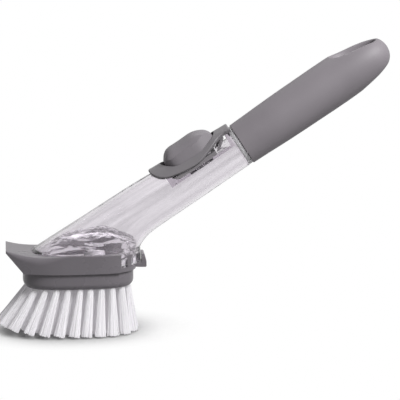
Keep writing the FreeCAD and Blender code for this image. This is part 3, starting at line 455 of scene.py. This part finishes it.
def clear(name, tints, body, stretch, ripple, **constants):
    material, tree, shader, end = new_material(name)
    where = add(tree, "ShaderNodeTexCoord", (-900, -200))
    turn = add(tree, "ShaderNodeMapping", (-700, -200), vector_type="TEXTURE")
    set_inputs(turn, Rotation=(0.0, -TILT, 0.0), Scale=stretch)
    marks_and_painted_bands = add(tree, "ShaderNodeTexNoise", (-450, -200))
    set_inputs(marks_and_painted_bands, Scale=1.0, Detail=MARK_AND_BAND_DETAIL)
    link(tree, where.outputs["Object"], turn.inputs["Vector"])
    link(tree, turn.outputs["Vector"], marks_and_painted_bands.inputs["Vector"])
    # Painted shade: the noise darkens and lightens the tint in bands that stand in for the reflected and
    # seen-through surround.
    colour = colour_between(tree, marks_and_painted_bands.outputs["Fac"], PAINTED_BAND_SPAN, tints, (-200, 100))
    link(tree, colour, shader.inputs["Base Color"])
    normal = bumped(tree, marks_and_painted_bands.outputs["Fac"], ripple, MARK_HEIGHT, (-150, -200))
    link(tree, normal, shader.inputs["Normal"])
    set_inputs(shader, **constants)
    let_light_pass(tree, shader, end, CLEAR_PASS_SHARE)
    depth = add(tree, "ShaderNodeVolumeAbsorption", (500, -200))
    set_inputs(depth, Color=(*body, 1.0), Density=CLEAR_DENSITY)
    link(tree, depth.outputs["Volume"], end.inputs["Volume"])
    return material


# The gap between the two tints is painted shade: it draws the darker bands along the tube.
clear_plastic = clear("clear_plastic", tints=((0.80, 0.785, 0.805), (0.97, 0.955, 0.975)),
                      body=(0.78, 0.75, 0.785), stretch=(0.075, 0.0045, 0.0045), ripple=0.22,
                      IOR=1.49, Roughness=0.03, Transmission_Weight=1.0)
soap_clear = clear("clear_soap", tints=((0.95, 0.94, 0.955), (1.0, 0.995, 1.0)),
                   body=(0.99, 0.985, 0.99), stretch=(0.009, 0.005, 0.003), ripple=0.25,
                   IOR=1.36, Roughness=0.0, Transmission_Weight=0.94)
print("clear materials:", clear_plastic.name, soap_clear.name)

# %% [markdown]
# The bristles are nylon: white, a little glossy, and each filament has its own faint tone, which is
# stored on the mesh as an attribute when the filament is made. Nylon passes on much of the light that
# falls on it. Tracing that light through thousands of filaments would be slow, so a filament throws only
# part of a shadow on those behind it, and a weak glow stands for the light that wanders in the bundle.

# %% Nylon material
NYLON_PASS_SHARE = 0.85
NYLON_TONES = ((0.88, 0.865, 0.89), (0.97, 0.96, 0.98))


def nylon_material():
    material, tree, shader, end = new_material("bristle_nylon")
    strand = add(tree, "ShaderNodeAttribute", (-500, 100), attribute_name="strand_tone")
    colour = colour_between(tree, strand.outputs["Fac"], (0.0, 1.0), NYLON_TONES, (-250, 100))
    link(tree, colour, shader.inputs["Base Color"])
    set_inputs(shader, Roughness=0.42, Emission_Color=(1.0, 0.98, 1.0, 1.0), Emission_Strength=0.07)
    let_light_pass(tree, shader, end, NYLON_PASS_SHARE)
    return material


bristle_nylon = nylon_material()
print("nylon:", bristle_nylon.name)

# %% [markdown]
# The hard parts come from the CAD model: the tube, the handle, the button and its bezel, the brush head
# and what is hidden in them. Their shapes could be modelled again here, but they are right already, so
# they stay as they are and only get their finish. The nodes that aren't listed are replaced further on.

# %% Finish of the CAD nodes
CAD_FINISHES = {
    "reservoir_tube": clear_plastic, "base_plate": frosted_plastic, "valve_retainer": white_plastic,
    "button_bezel": bezel_grey, "press_button": button_grey, "pump_frame": bezel_grey,
    "handle_grip": handle_grey, "handle_plug": plug_grey,
    "scraper_collar": head_grey, "bristle_block": head_grey, "release_latch": head_grey,
    "tuft_anchors": wire_steel,
}

for node_name, finish in CAD_FINISHES.items():
    node_materials = nodes[node_name].data.materials
    node_materials.clear()
    node_materials.append(finish)
print("dressed", len(CAD_FINISHES), "of", len(nodes), "nodes")

# %% [markdown]
# The rest of the pieces are modelled in millimetres, which keeps the numbers readable, and are scaled
# to metres as the last step. Many of them sit on the wand's tilted axis. They could be turned as objects,
# but a finished piece stays at the origin, so a matrix carries the mesh itself to its place.

# %% Helpers for pieces
SOFT_EDGE = math.radians(35)
NECK_PLACE = Vector((102.0, 0.0, 114.5))
WAND = Matrix.Translation(NECK_PLACE) @ Matrix.Rotation(-TILT, 4, "Y")
ALONG_WAND = WAND @ Matrix.Rotation(math.pi / 2, 4, "Y")


def placed(bm, matrix):
    bmesh.ops.transform(bm, matrix=matrix, verts=bm.verts)
    return bm


def make_piece(name, bm, body, material, stands_for=()):
    """A bmesh in millimetres becomes a smooth-shaded object in metres that rides on a CAD body."""
    bmesh.ops.scale(bm, vec=(MM, MM, MM), verts=bm.verts)
    mesh = bpy.data.meshes.new(name)
    bm.to_mesh(mesh)
    bm.free()
    mesh.shade_smooth()
    mesh.set_sharp_from_angle(angle=SOFT_EDGE)
    mesh.materials.append(material)
    piece = bpy.data.objects.new(name, mesh)
    scene.collection.objects.link(piece)
    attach(piece, body)
    if stands_for:
        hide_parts(*stands_for)
    print(name, "faces:", len(mesh.polygons))
    return piece


print("neck of the wand at", tuple(NECK_PLACE))

# %% [markdown]
# The soft parts are turned shapes: the gasket between tube and handle, the pump's rubber cup, the duckbill
# valve of the outlet and the O-ring on its nozzle. They could be cut from cylinders, but the moulds of such
# parts are turned on a lathe, and so are they: each starts as a closed outline of half its section, has
# its corners rounded by a bevel, and is spun about its axis.

# %% Turning a section
TURN_STEPS = 64
ROUNDING_STEPS = 3
AXIS_NEAR = 0.001


def spun(bm):
    """What the bmesh holds, spun once about the Z axis and closed."""
    bmesh.ops.spin(bm, geom=bm.verts[:] + bm.edges[:], cent=(0, 0, 0), axis=(0, 0, 1), angle=2 * math.pi,
                   steps=TURN_STEPS, use_merge=True)
    bmesh.ops.remove_doubles(bm, verts=bm.verts, dist=AXIS_NEAR)
    bmesh.ops.recalc_face_normals(bm, faces=bm.faces)
    return bm


def turned(outline, rounding):
    """A closed outline of (radius, height) points, its corners rounded, spun about the Z axis."""
    bm = bmesh.new()
    bmesh.ops.contextual_create(bm, geom=[bm.verts.new((radius, 0.0, height)) for radius, height in outline])
    corners = [v for v in bm.verts if v.co.x > AXIS_NEAR]
    bmesh.ops.bevel(bm, geom=corners, offset=rounding, offset_type="OFFSET", segments=ROUNDING_STEPS,
                    profile=0.5, affect="VERTICES", material=-1)
    bmesh.ops.delete(bm, geom=bm.faces[:], context="FACES_ONLY")
    on_axis = [e for e in bm.edges if max(v.co.x for v in e.verts) < AXIS_NEAR]
    bmesh.ops.delete(bm, geom=on_axis, context="EDGES_FACES")
    return spun(bm)


print("sides of a turned part:", TURN_STEPS)

# %% [markdown]
# The gasket is the pale ring between the tube and the handle. It is a plain washer with rounded corners,
# so four points are enough. It stays on the handle's end when the handle is unscrewed.

# %% Gasket
GASKET_BORE, GASKET_RADIUS = 10.95, 13.1
GASKET_FRONT, GASKET_REAR = -2.7, -0.1
GASKET_ROUNDING = 0.35

gasket = turned([(GASKET_BORE, GASKET_FRONT), (GASKET_RADIUS, GASKET_FRONT),
                 (GASKET_RADIUS, GASKET_REAR), (GASKET_BORE, GASKET_REAR)], GASKET_ROUNDING)
make_piece("gasket_ring", placed(gasket, ALONG_WAND), "gasket", silicone, ("neck_gasket",))

# %% [markdown]
# The pump under the button is a rubber cup on a barbed foot, which snaps into a port of the tube. One mesh
# could hold both, but only the cup folds when the button is pressed, so they are two pieces, and the cup
# has a mesh of its own.

# %% Pump
PUMP_ALONG, PUMP_FLOOR = -28.0, 5.8
# Radii of the foot from the bore outwards, and its heights from the barbed end up.
PUMP_BORE, PUMP_NECK, PUMP_BARB, PUMP_RIM = 3.6, 4.9, 5.9, 8.6
PUMP_END, PUMP_BARB_TOP, PUMP_SEAT, PUMP_FLANGE = -3.9, -2.1, 0.1, 1.8
PUMP_ROUNDING = 0.25
CUP_RADIUS, CUP_CROWN_RADIUS, CUP_TOP, CUP_WALL = 7.4, 5.33, 8.2, 1.3
CUP_BORE, CUP_CROWN_BORE = CUP_RADIUS - CUP_WALL, CUP_CROWN_RADIUS - CUP_WALL
CUP_SHOULDER, CUP_CEILING = PUMP_FLANGE + CUP_WALL, CUP_TOP - CUP_WALL

pump_seat = WAND @ Matrix.Translation((PUMP_ALONG, 0.0, PUMP_FLOOR))
foot = turned([(PUMP_BORE, PUMP_END), (PUMP_NECK, PUMP_END), (PUMP_BARB, PUMP_BARB_TOP),
               (PUMP_NECK, PUMP_BARB_TOP), (PUMP_NECK, PUMP_SEAT), (PUMP_RIM, PUMP_SEAT),
               (PUMP_RIM, PUMP_FLANGE), (CUP_BORE, PUMP_FLANGE), (PUMP_BORE, 0.0)], PUMP_ROUNDING)
cup = turned([(CUP_BORE, PUMP_FLANGE), (CUP_RADIUS, PUMP_FLANGE), (CUP_RADIUS, CUP_SHOULDER),
              (CUP_CROWN_RADIUS, CUP_TOP), (0, CUP_TOP), (0, CUP_CEILING),
              (CUP_CROWN_BORE, CUP_CEILING)], PUMP_ROUNDING)
make_piece("pump_foot", placed(foot, pump_seat), "reservoir", silicone, ("pump_diaphragm",))
cup_piece = make_piece("pump_cup", placed(cup, pump_seat), "reservoir", silicone,
                       ("pump_diaphragm",))
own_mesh(cup_piece)

# %% [markdown]
# The soap leaves through a duckbill valve: two soft lips that the pressure parts, and that close by
# themselves. It is turned as a funnel with a closed end, and then its bill is pinched flat, more and more
# towards the lips. Under it an O-ring seals the nozzle in the brush head. That is a circle, spun.

# %% Outlet valve and O-ring
OUTLET_X = 10.46
OUTLET = Matrix.Translation((OUTLET_X, 0.0, 0.0))
BILL_TOP, BILL_LENGTH, BILL_WALL = 47.8, 3.9, 0.7
BILL_ROOT, BILL_TIP = 2.7, 1.485
FLANGE_RADIUS, FLANGE_DEPTH = 4.2, 1.0
BILL_ROUNDING = 0.15
BILL_PINCH_SHARE = 0.6
O_RING_RADIUS, O_RING_HALF, O_RING_HEIGHT = 3.4, 0.75, 41.5
O_RING_SIDES = 20


def clamped(value):
    return min(1.0, max(0.0, value))


def duckbill():
    end = BILL_TOP - BILL_LENGTH
    inside = end + BILL_WALL
    throat = BILL_ROOT - BILL_WALL
    flange_top = BILL_TOP + FLANGE_DEPTH
    bm = turned([(0, end), (BILL_TIP, end), (BILL_ROOT, BILL_TOP), (FLANGE_RADIUS, BILL_TOP),
                 (FLANGE_RADIUS, flange_top), (throat, flange_top), (throat, BILL_TOP + BILL_WALL),
                 (BILL_TIP - BILL_WALL, inside), (0, inside)], BILL_ROUNDING)
    for vert in bm.verts:
        vert.co.x *= 1.0 - BILL_PINCH_SHARE * clamped((BILL_TOP - vert.co.z) / BILL_LENGTH)
    return placed(bm, OUTLET)


def o_ring():
    bm = bmesh.new()
    seat = Matrix.Translation((O_RING_RADIUS, 0.0, O_RING_HEIGHT)) @ Matrix.Rotation(math.pi / 2, 4, "X")
    bmesh.ops.create_circle(bm, segments=O_RING_SIDES, radius=O_RING_HALF, matrix=seat)
    return placed(spun(bm), OUTLET)


make_piece("duckbill_valve", duckbill(), "reservoir", silicone, ("outlet_valve",))
make_piece("nozzle_ring", o_ring(), "reservoir", silicone, ("outlet_o_ring",))

# %% [markdown]
# The handle screws onto the neck. The thread is one ridge that climbs round the spigot by its pitch in
# each turn. A Screw modifier could make it, but a spin that moves along its axis does the same in one
# step and closes both ends. Its crest stays just inside the bore of the handle's plug.

# %% Thread of the neck
THREAD_PITCH = 5.0
THREAD_TURNS = 1.6
THREAD_START = 1.6
THREAD_STEPS = 96
THREAD_ROOT, THREAD_ROOT_HALF = 10.4, 0.75
THREAD_CREST, THREAD_CREST_HALF = 10.84, 0.3


def thread_ridge():
    bm = bmesh.new()
    section = [(THREAD_ROOT, -THREAD_ROOT_HALF), (THREAD_CREST, -THREAD_CREST_HALF),
               (THREAD_CREST, THREAD_CREST_HALF), (THREAD_ROOT, THREAD_ROOT_HALF)]
    first = [bm.verts.new((radius, 0.0, THREAD_START + along)) for radius, along in section]
    cap = bmesh.ops.contextual_create(bm, geom=first)["faces"]
    climb = THREAD_PITCH * THREAD_TURNS / THREAD_STEPS
    bmesh.ops.spin(bm, geom=cap, cent=(0, 0, 0), axis=(0, 0, 1), dvec=(0.0, 0.0, climb),
                   angle=2 * math.pi * THREAD_TURNS, steps=THREAD_STEPS)
    bmesh.ops.recalc_face_normals(bm, faces=bm.faces)
    return placed(bm, ALONG_WAND)


make_piece("neck_thread", thread_ridge(), "reservoir", clear_plastic)

# %% [markdown]
# The inside of the tube is needed for the soap. Its sections go from the oval foot to the round tube:
# each is an oval between a point on the top line and one on the bottom line. The bottom line bends
# through a corner, and the ovals grow rounder on the way. The mesh of the CAD node could be cut up
# instead, but its loose triangles would need mending first.

# %% Sections of the reservoir
FOOT_FRONT = Vector((-28.0, 0.0, 50.5))
FOOT_REAR = Vector((39.0, 0.0, 50.5))
FOOT_HALF_WIDTH = 20.0
FOOT_SQUARENESS, TUBE_SQUARENESS = 2.5, 2.0
TUBE_RADIUS = 13.4
TUBE_FLARE_SHARE = 0.03
TUBE_LIFT_SHARE = 0.017
ELBOW_START = -71.79


def on_wand(along, rise):
    return WAND @ Vector((along, 0.0, rise))


def tube_radius(along):
    return TUBE_RADIUS - TUBE_FLARE_SHARE * along


def tube_ends(along):
    """The top and the bottom point of the tube, at a distance along the wand."""
    rise, radius = -TUBE_LIFT_SHARE * along, tube_radius(along)
    return on_wand(along, rise + radius), on_wand(along, rise - radius)


def elbow_section(share):
    """Top point, bottom point, half width and squareness: share 1 at the foot, 0 at the round tube."""
    top, bottom = tube_ends(ELBOW_START)
    slope = (tube_ends(0.0)[1] - bottom).normalized()
    corner = bottom + slope * ((FOOT_REAR.x - bottom.x) / slope.x)
    keep = 1.0 - share
    low = bottom * keep ** 2 + corner * (2 * keep * share) + FOOT_REAR * share ** 2
    width = tube_radius(ELBOW_START) * keep + FOOT_HALF_WIDTH * share
    squareness = TUBE_SQUARENESS * keep + FOOT_SQUARENESS * share
    return top * keep + FOOT_FRONT * share, low, width, squareness


print("elbow starts at", [round(c, 1) for c in on_wand(ELBOW_START, 0.0)])

# %% [markdown]
# A loft joins sections into one skin. Each section here is a circle of vertices that is pulled to its
# oval, and a bridge joins each ring to the next. A higher squareness fills out the oval's corners.

# %% Ovals and their skin
OVAL_STEPS = 64


def power(value, exponent):
    return math.copysign(abs(value) ** exponent, value)


def oval_ring(bm, first, last, half_width, squareness):
    """A closed ring of vertices: a circle pulled to an oval between two points of the middle plane."""
    ring = bmesh.ops.create_circle(bm, segments=OVAL_STEPS, radius=1.0)["verts"]
    middle, half = (first + last) / 2, (last - first) / 2
    for vert in ring:
        angle = math.atan2(vert.co.y, vert.co.x)
        across = half_width * power(math.sin(angle), 2 / squareness)
        vert.co = middle + half * power(math.cos(angle), 2 / squareness) + Vector((0.0, across, 0.0))
    return ring


def ring_edges(ring):
    members = set(ring)
    return list({e for v in ring for e in v.link_edges if e.other_vert(v) in members})


def skin_rings(bm, rings):
    """Bridges each ring to the next and closes both ends."""
    for lower, upper in zip(rings, rings[1:]):
        bmesh.ops.bridge_loops(bm, edges=ring_edges(lower) + ring_edges(upper))
    for ring in (rings[0], rings[-1]):
        bmesh.ops.contextual_create(bm, geom=ring_edges(ring))
    bmesh.ops.recalc_face_normals(bm, faces=bm.faces)


print("vertices in a section:", OVAL_STEPS)

# %% [markdown]
# A little clear soap lies in the foot. In the photograph it is seen as a glassy mass, full of ripples.
# A liquid simulation would level it out, so it is modelled. It starts as the tube's own inside, drawn in
# by a hair, and two sloping planes that meet in a low ridge cut off what is above it.

# %% Body of soap
SOAP_GAP = 0.3
FOOT_WALL, TUBE_WALL = 2.6, 2.0
SOAP_FLOOR = 46.1
SOAP_SECTIONS = 8
SOAP_RIDGE = Vector((20.0, 0.0, 61.8))
SOAP_SLOPES = (0.10, -0.40)


def soap_rings(bm):
    rings = []
    foot_inset = FOOT_WALL + SOAP_GAP
    for height in (SOAP_FLOOR, FOOT_FRONT.z):
        lift = Vector((0.0, 0.0, height - FOOT_FRONT.z))
        first = FOOT_FRONT + lift + Vector((foot_inset, 0.0, 0.0))
        last = FOOT_REAR + lift - Vector((foot_inset, 0.0, 0.0))
        rings.append(oval_ring(bm, first, last, FOOT_HALF_WIDTH - foot_inset, FOOT_SQUARENESS))
    for step in range(1, SOAP_SECTIONS + 1):
        share = 1.0 - step / SOAP_SECTIONS
        top, low, width, squareness = elbow_section(share)
        wall = SOAP_GAP + TUBE_WALL + (FOOT_WALL - TUBE_WALL) * share
        inward = (low - top).normalized() * wall
        rings.append(oval_ring(bm, top + inward, low - inward, width - wall, squareness))
    return rings


def soap_body():
    bm = bmesh.new()
    skin_rings(bm, soap_rings(bm))
    for slope in SOAP_SLOPES:
        up = Vector((-slope, 0.0, 1.0)).normalized()
        cut = bmesh.ops.bisect_plane(bm, geom=bm.verts[:] + bm.edges[:] + bm.faces[:], plane_co=SOAP_RIDGE,
                                     plane_no=up, clear_outer=True)
        rim = [e for e in cut["geom_cut"] if isinstance(e, bmesh.types.BMEdge)]
        bmesh.ops.contextual_create(bm, geom=rim)
    return bm


smooth_soap = soap_body()
print("soap before its ripples, cubic mm:", round(smooth_soap.calc_volume()))

# %% [markdown]
# The ripples need even, fine faces, which a remesh gives. A texture could only bend the light, and these
# ripples show in the soap's outline too, so they move the vertices: waves and creases on top, and long
# shallow folds on the sides, which only go inwards, away from the wall. Two smoothings soften the creases.

# %% Ripples of the soap
SOAP_GRID = 0.55
SOAP_MIDDLE = Vector((5.5, 0.0, 0.0))
CALM_HEIGHT, ROUGH_RISE = 54.0, 10.0
WAVE_HEIGHT = 2.2
WAVE_RATES = (0.09, 0.14)
WAVE_SEED = 1.7
CREASE_HEIGHT = 1.8
CREASE_MIDDLE = 0.75
CREASE_RATES = (0.13, 0.34)
CREASE_SEED = 8.3
FOLD_DEPTH = 1.6
FOLD_SHARPNESS = 3
FOLD_RATES = (0.045, 0.34)
FOLD_SEED = 3.1
SMOOTHINGS, SMOOTHING_SHARE = 2, 0.5


def remeshed(bm, grid):
    """A bmesh with its surface laid anew on an even grid. The bmesh that goes in is used up."""
    mesh = bpy.data.meshes.new("working_mesh")
    bm.to_mesh(mesh)
    bm.free()
    working = bpy.data.objects.new("working_piece", mesh)
    scene.collection.objects.link(working)
    modifier = working.modifiers.new("even_grid", "REMESH")
    modifier.mode = "VOXEL"
    modifier.voxel_size = grid
    result = bmesh.new()
    result.from_object(working, bpy.context.evaluated_depsgraph_get())
    bpy.data.objects.remove(working)
    bpy.data.meshes.remove(mesh)
    return result


def creased(place, rates, seed):
    """A noise with sharp creases, from 0 to 1: one rate in X, and the other in Y and Z."""
    at = Vector((place.x * rates[0], place.y * rates[1], seed + place.z * rates[1]))
    return 1.0 - abs(noise.noise(at))


def ripple_vertex(vert):
    """Moves a vertex of the soap: inwards by its fold, and at the top up or down by wave and crease."""
    rough = clamped((vert.co.z - CALM_HEIGHT) / ROUGH_RISE)
    wave = noise.noise(Vector((vert.co.x * WAVE_RATES[0], vert.co.y * WAVE_RATES[1], WAVE_SEED)))
    crease = creased(vert.co, CREASE_RATES, CREASE_SEED) - CREASE_MIDDLE
    fold = creased(vert.co, FOLD_RATES, FOLD_SEED) ** FOLD_SHARPNESS
    inward = SOAP_MIDDLE - Vector((vert.co.x, vert.co.y, 0.0))
    vert.co += inward.normalized() * FOLD_DEPTH * fold
    vert.co.z += rough * (WAVE_HEIGHT * wave + CREASE_HEIGHT * crease)


def rippled_soap(body):
    bm = remeshed(body, SOAP_GRID)
    for vert in bm.verts:
        ripple_vertex(vert)
    for _ in range(SMOOTHINGS):
        bmesh.ops.smooth_vert(bm, verts=bm.verts, factor=SMOOTHING_SHARE, use_axis_x=True, use_axis_y=True,
                              use_axis_z=True)
    return bm


make_piece("soap_pool", rippled_soap(smooth_soap), "reservoir", soap_clear)

# %% [markdown]
# The tufts stand in three rings that follow the block's edge, with two more in the middle. Even angles
# would crowd them at the ends of the oval, so the outline is walked and a tuft is set at even distances.
# The tufts lean outwards, most at the scraper end.

# %% Places of the tufts
BLOCK_FRONT, BLOCK_REAR = -34.004, 34.5
BLOCK_HALF_WIDTH = 21.0
BLOCK_SQUARENESS = 3.0
OUTLINE_STEPS = 2880
OUTER_INSET, RING_PITCH = 3.7, 6.0
OUTER_TUFTS, MIDDLE_TUFTS, INNER_TUFTS = 24, 18, 12
TUFT_ROOT_Z = 28.7
TUFT_MIDDLE_X = 3.86
TUFT_PITCH = 6.6
LEAN_SHARE, SIDE_LEAN_SHARE = 1.21, 1.36
FRONT_LEAN_SHARE, REAR_LEAN_SHARE = 0.30, 0.09


def even_ring(inset, count):
    """Points at even distances round the block's outline, drawn in by an inset."""
    first, last = BLOCK_FRONT + inset, BLOCK_REAR - inset
    middle, half = (first + last) / 2, (last - first) / 2
    points = []
    for step in range(OUTLINE_STEPS + 1):
        angle = 2 * math.pi * step / OUTLINE_STEPS
        x = middle + half * power(math.cos(angle), 2 / BLOCK_SQUARENESS)
        y = (BLOCK_HALF_WIDTH - inset) * power(math.sin(angle), 2 / BLOCK_SQUARENESS)
        points.append(Vector((x, y, TUFT_ROOT_Z)))
    walked = [0.0]
    for a, b in zip(points, points[1:]):
        walked.append(walked[-1] + (b - a).length)
    ring, at = [], 0
    for step in range(count):
        while walked[at] < walked[-1] * step / count:
            at += 1
        ring.append(points[at])
    return ring


def tuft_axis(root):
    """Where a tuft points: the field splays outwards, most at the scraper end."""
    reach = root.x - TUFT_MIDDLE_X
    end_share = FRONT_LEAN_SHARE if reach < 0 else REAR_LEAN_SHARE
    lean = LEAN_SHARE + end_share * (reach / -BLOCK_FRONT) ** 2
    return (Vector((reach * lean, root.y * SIDE_LEAN_SHARE, 0.0)) - root).normalized()


middle_tufts = [Vector((TUFT_MIDDLE_X + step * TUFT_PITCH, 0.0, TUFT_ROOT_Z)) for step in (-1, 0)]
tuft_rings = {
    "bristles_outer": even_ring(OUTER_INSET, OUTER_TUFTS),
    "bristles_middle": even_ring(OUTER_INSET + RING_PITCH, MIDDLE_TUFTS),
    "bristles_inner": even_ring(OUTER_INSET + 2 * RING_PITCH, INNER_TUFTS) + middle_tufts,
}
print("tufts:", {name: len(ring) for name, ring in tuft_rings.items()})

# %% [markdown]
# Each tuft is a bundle of nylon filaments that leaves its hole tightly packed and fans out. A hair system
# could fill them, but loose strands are hard to export, so each filament is a thin five-sided tube. One is
# modelled, and doubled until there are enough.

# %% One filament and its copies
FILAMENT_RADIUS = 0.19
FILAMENT_SIDES = 5
FILAMENT_STEPS = 4


def filament_blank(bm):
    """One straight filament from 0 to 1 along Z, closed at the tip."""
    ring = bmesh.ops.create_circle(bm, segments=FILAMENT_SIDES, radius=FILAMENT_RADIUS)["verts"]
    edges = ring_edges(ring)
    for _ in range(FILAMENT_STEPS):
        made = bmesh.ops.extrude_edge_only(bm, edges=edges)["geom"]
        moved = [g for g in made if isinstance(g, bmesh.types.BMVert)]
        bmesh.ops.translate(bm, vec=(0.0, 0.0, 1.0 / FILAMENT_STEPS), verts=moved)
        edges = ring_edges(moved)
    bmesh.ops.contextual_create(bm, geom=edges)
    bmesh.ops.recalc_face_normals(bm, faces=bm.faces)


def copied(bm, count):
    """Doubles what the bmesh holds until there are enough copies, and gives each copy's vertices."""
    size = len(bm.verts)
    while len(bm.verts) < size * count:
        bmesh.ops.duplicate(bm, geom=bm.verts[:] + bm.edges[:] + bm.faces[:])
    bmesh.ops.delete(bm, geom=bm.verts[:][size * count:], context="VERTS")
    verts = bm.verts[:]
    return [verts[at:at + size] for at in range(0, size * count, size)]


print("vertices of a filament:", FILAMENT_SIDES * (FILAMENT_STEPS + 1))

# %% [markdown]
# Real filaments are never quite straight or of one length. Each copy is laid along its own line: the
# golden angle spreads the roots evenly over the hole, and seeded random draws bend it a little, shorten
# it and give it its tone. No tip goes below the floor, because the bristles were trimmed flat. Bending
# the strands by a simulation would look much the same and take far longer.

# %% Bristles
FILAMENTS_PER_TUFT = 110
TUFT_REACH = 29.4
TUFT_SUNK = 2.5
TUFT_ROOT_RADIUS = 1.6
TUFT_TIP_RADIUS = 3.2
FILAMENT_SWING, FILAMENT_BEND, FILAMENT_SHORTER = 0.3, 0.28, 0.7
TIP_HEIGHT = 0.02
GOLDEN_ANGLE = math.pi * (3 - math.sqrt(5))
DRAW_SEED = 41


def lay_filament(verts, root, across, length, bend):
    """Moves a copied filament onto its line: out of the hole, fanning and bending towards the tip."""
    axis = tuft_axis(root)
    side = axis.orthogonal().normalized()
    other = axis.cross(side)
    start = side * across.x + other * across.y
    spread = TUFT_TIP_RADIUS / TUFT_ROOT_RADIUS
    for vert in verts:
        along = vert.co.z * (length + TUFT_SUNK) - TUFT_SUNK
        fan = max(0.0, along) / TUFT_REACH
        line = root + axis * along + start * (1.0 + (spread - 1.0) * fan) + bend * fan ** 2
        vert.co = line + side * vert.co.x + other * vert.co.y
        vert.co.z = max(vert.co.z, TIP_HEIGHT)


def tuft_bundle(roots, draw):
    bm = bmesh.new()
    tone_layer = bm.verts.layers.float.new("strand_tone")
    filament_blank(bm)
    for place, verts in enumerate(copied(bm, FILAMENTS_PER_TUFT * len(roots))):
        tuft, number = divmod(place, FILAMENTS_PER_TUFT)
        radius = TUFT_ROOT_RADIUS * math.sqrt((number + 0.5) / FILAMENTS_PER_TUFT)
        angle = number * GOLDEN_ANGLE + draw.uniform(-FILAMENT_SWING, FILAMENT_SWING)
        across = Vector((radius * math.cos(angle), radius * math.sin(angle)))
        bend = Vector((draw.gauss(0, FILAMENT_BEND), draw.gauss(0, FILAMENT_BEND), 0.0))
        length = TUFT_REACH - draw.uniform(0.0, FILAMENT_SHORTER)
        lay_filament(verts, roots[tuft], across, length, bend)
        tone = draw.random()
        for vert in verts:
            vert[tone_layer] = tone
    return bm


draw = random.Random(DRAW_SEED)
for ring_name, roots in tuft_rings.items():
    make_piece("filaments_" + ring_name, tuft_bundle(roots, draw), "head", bristle_nylon,
               stands_for=(ring_name,))
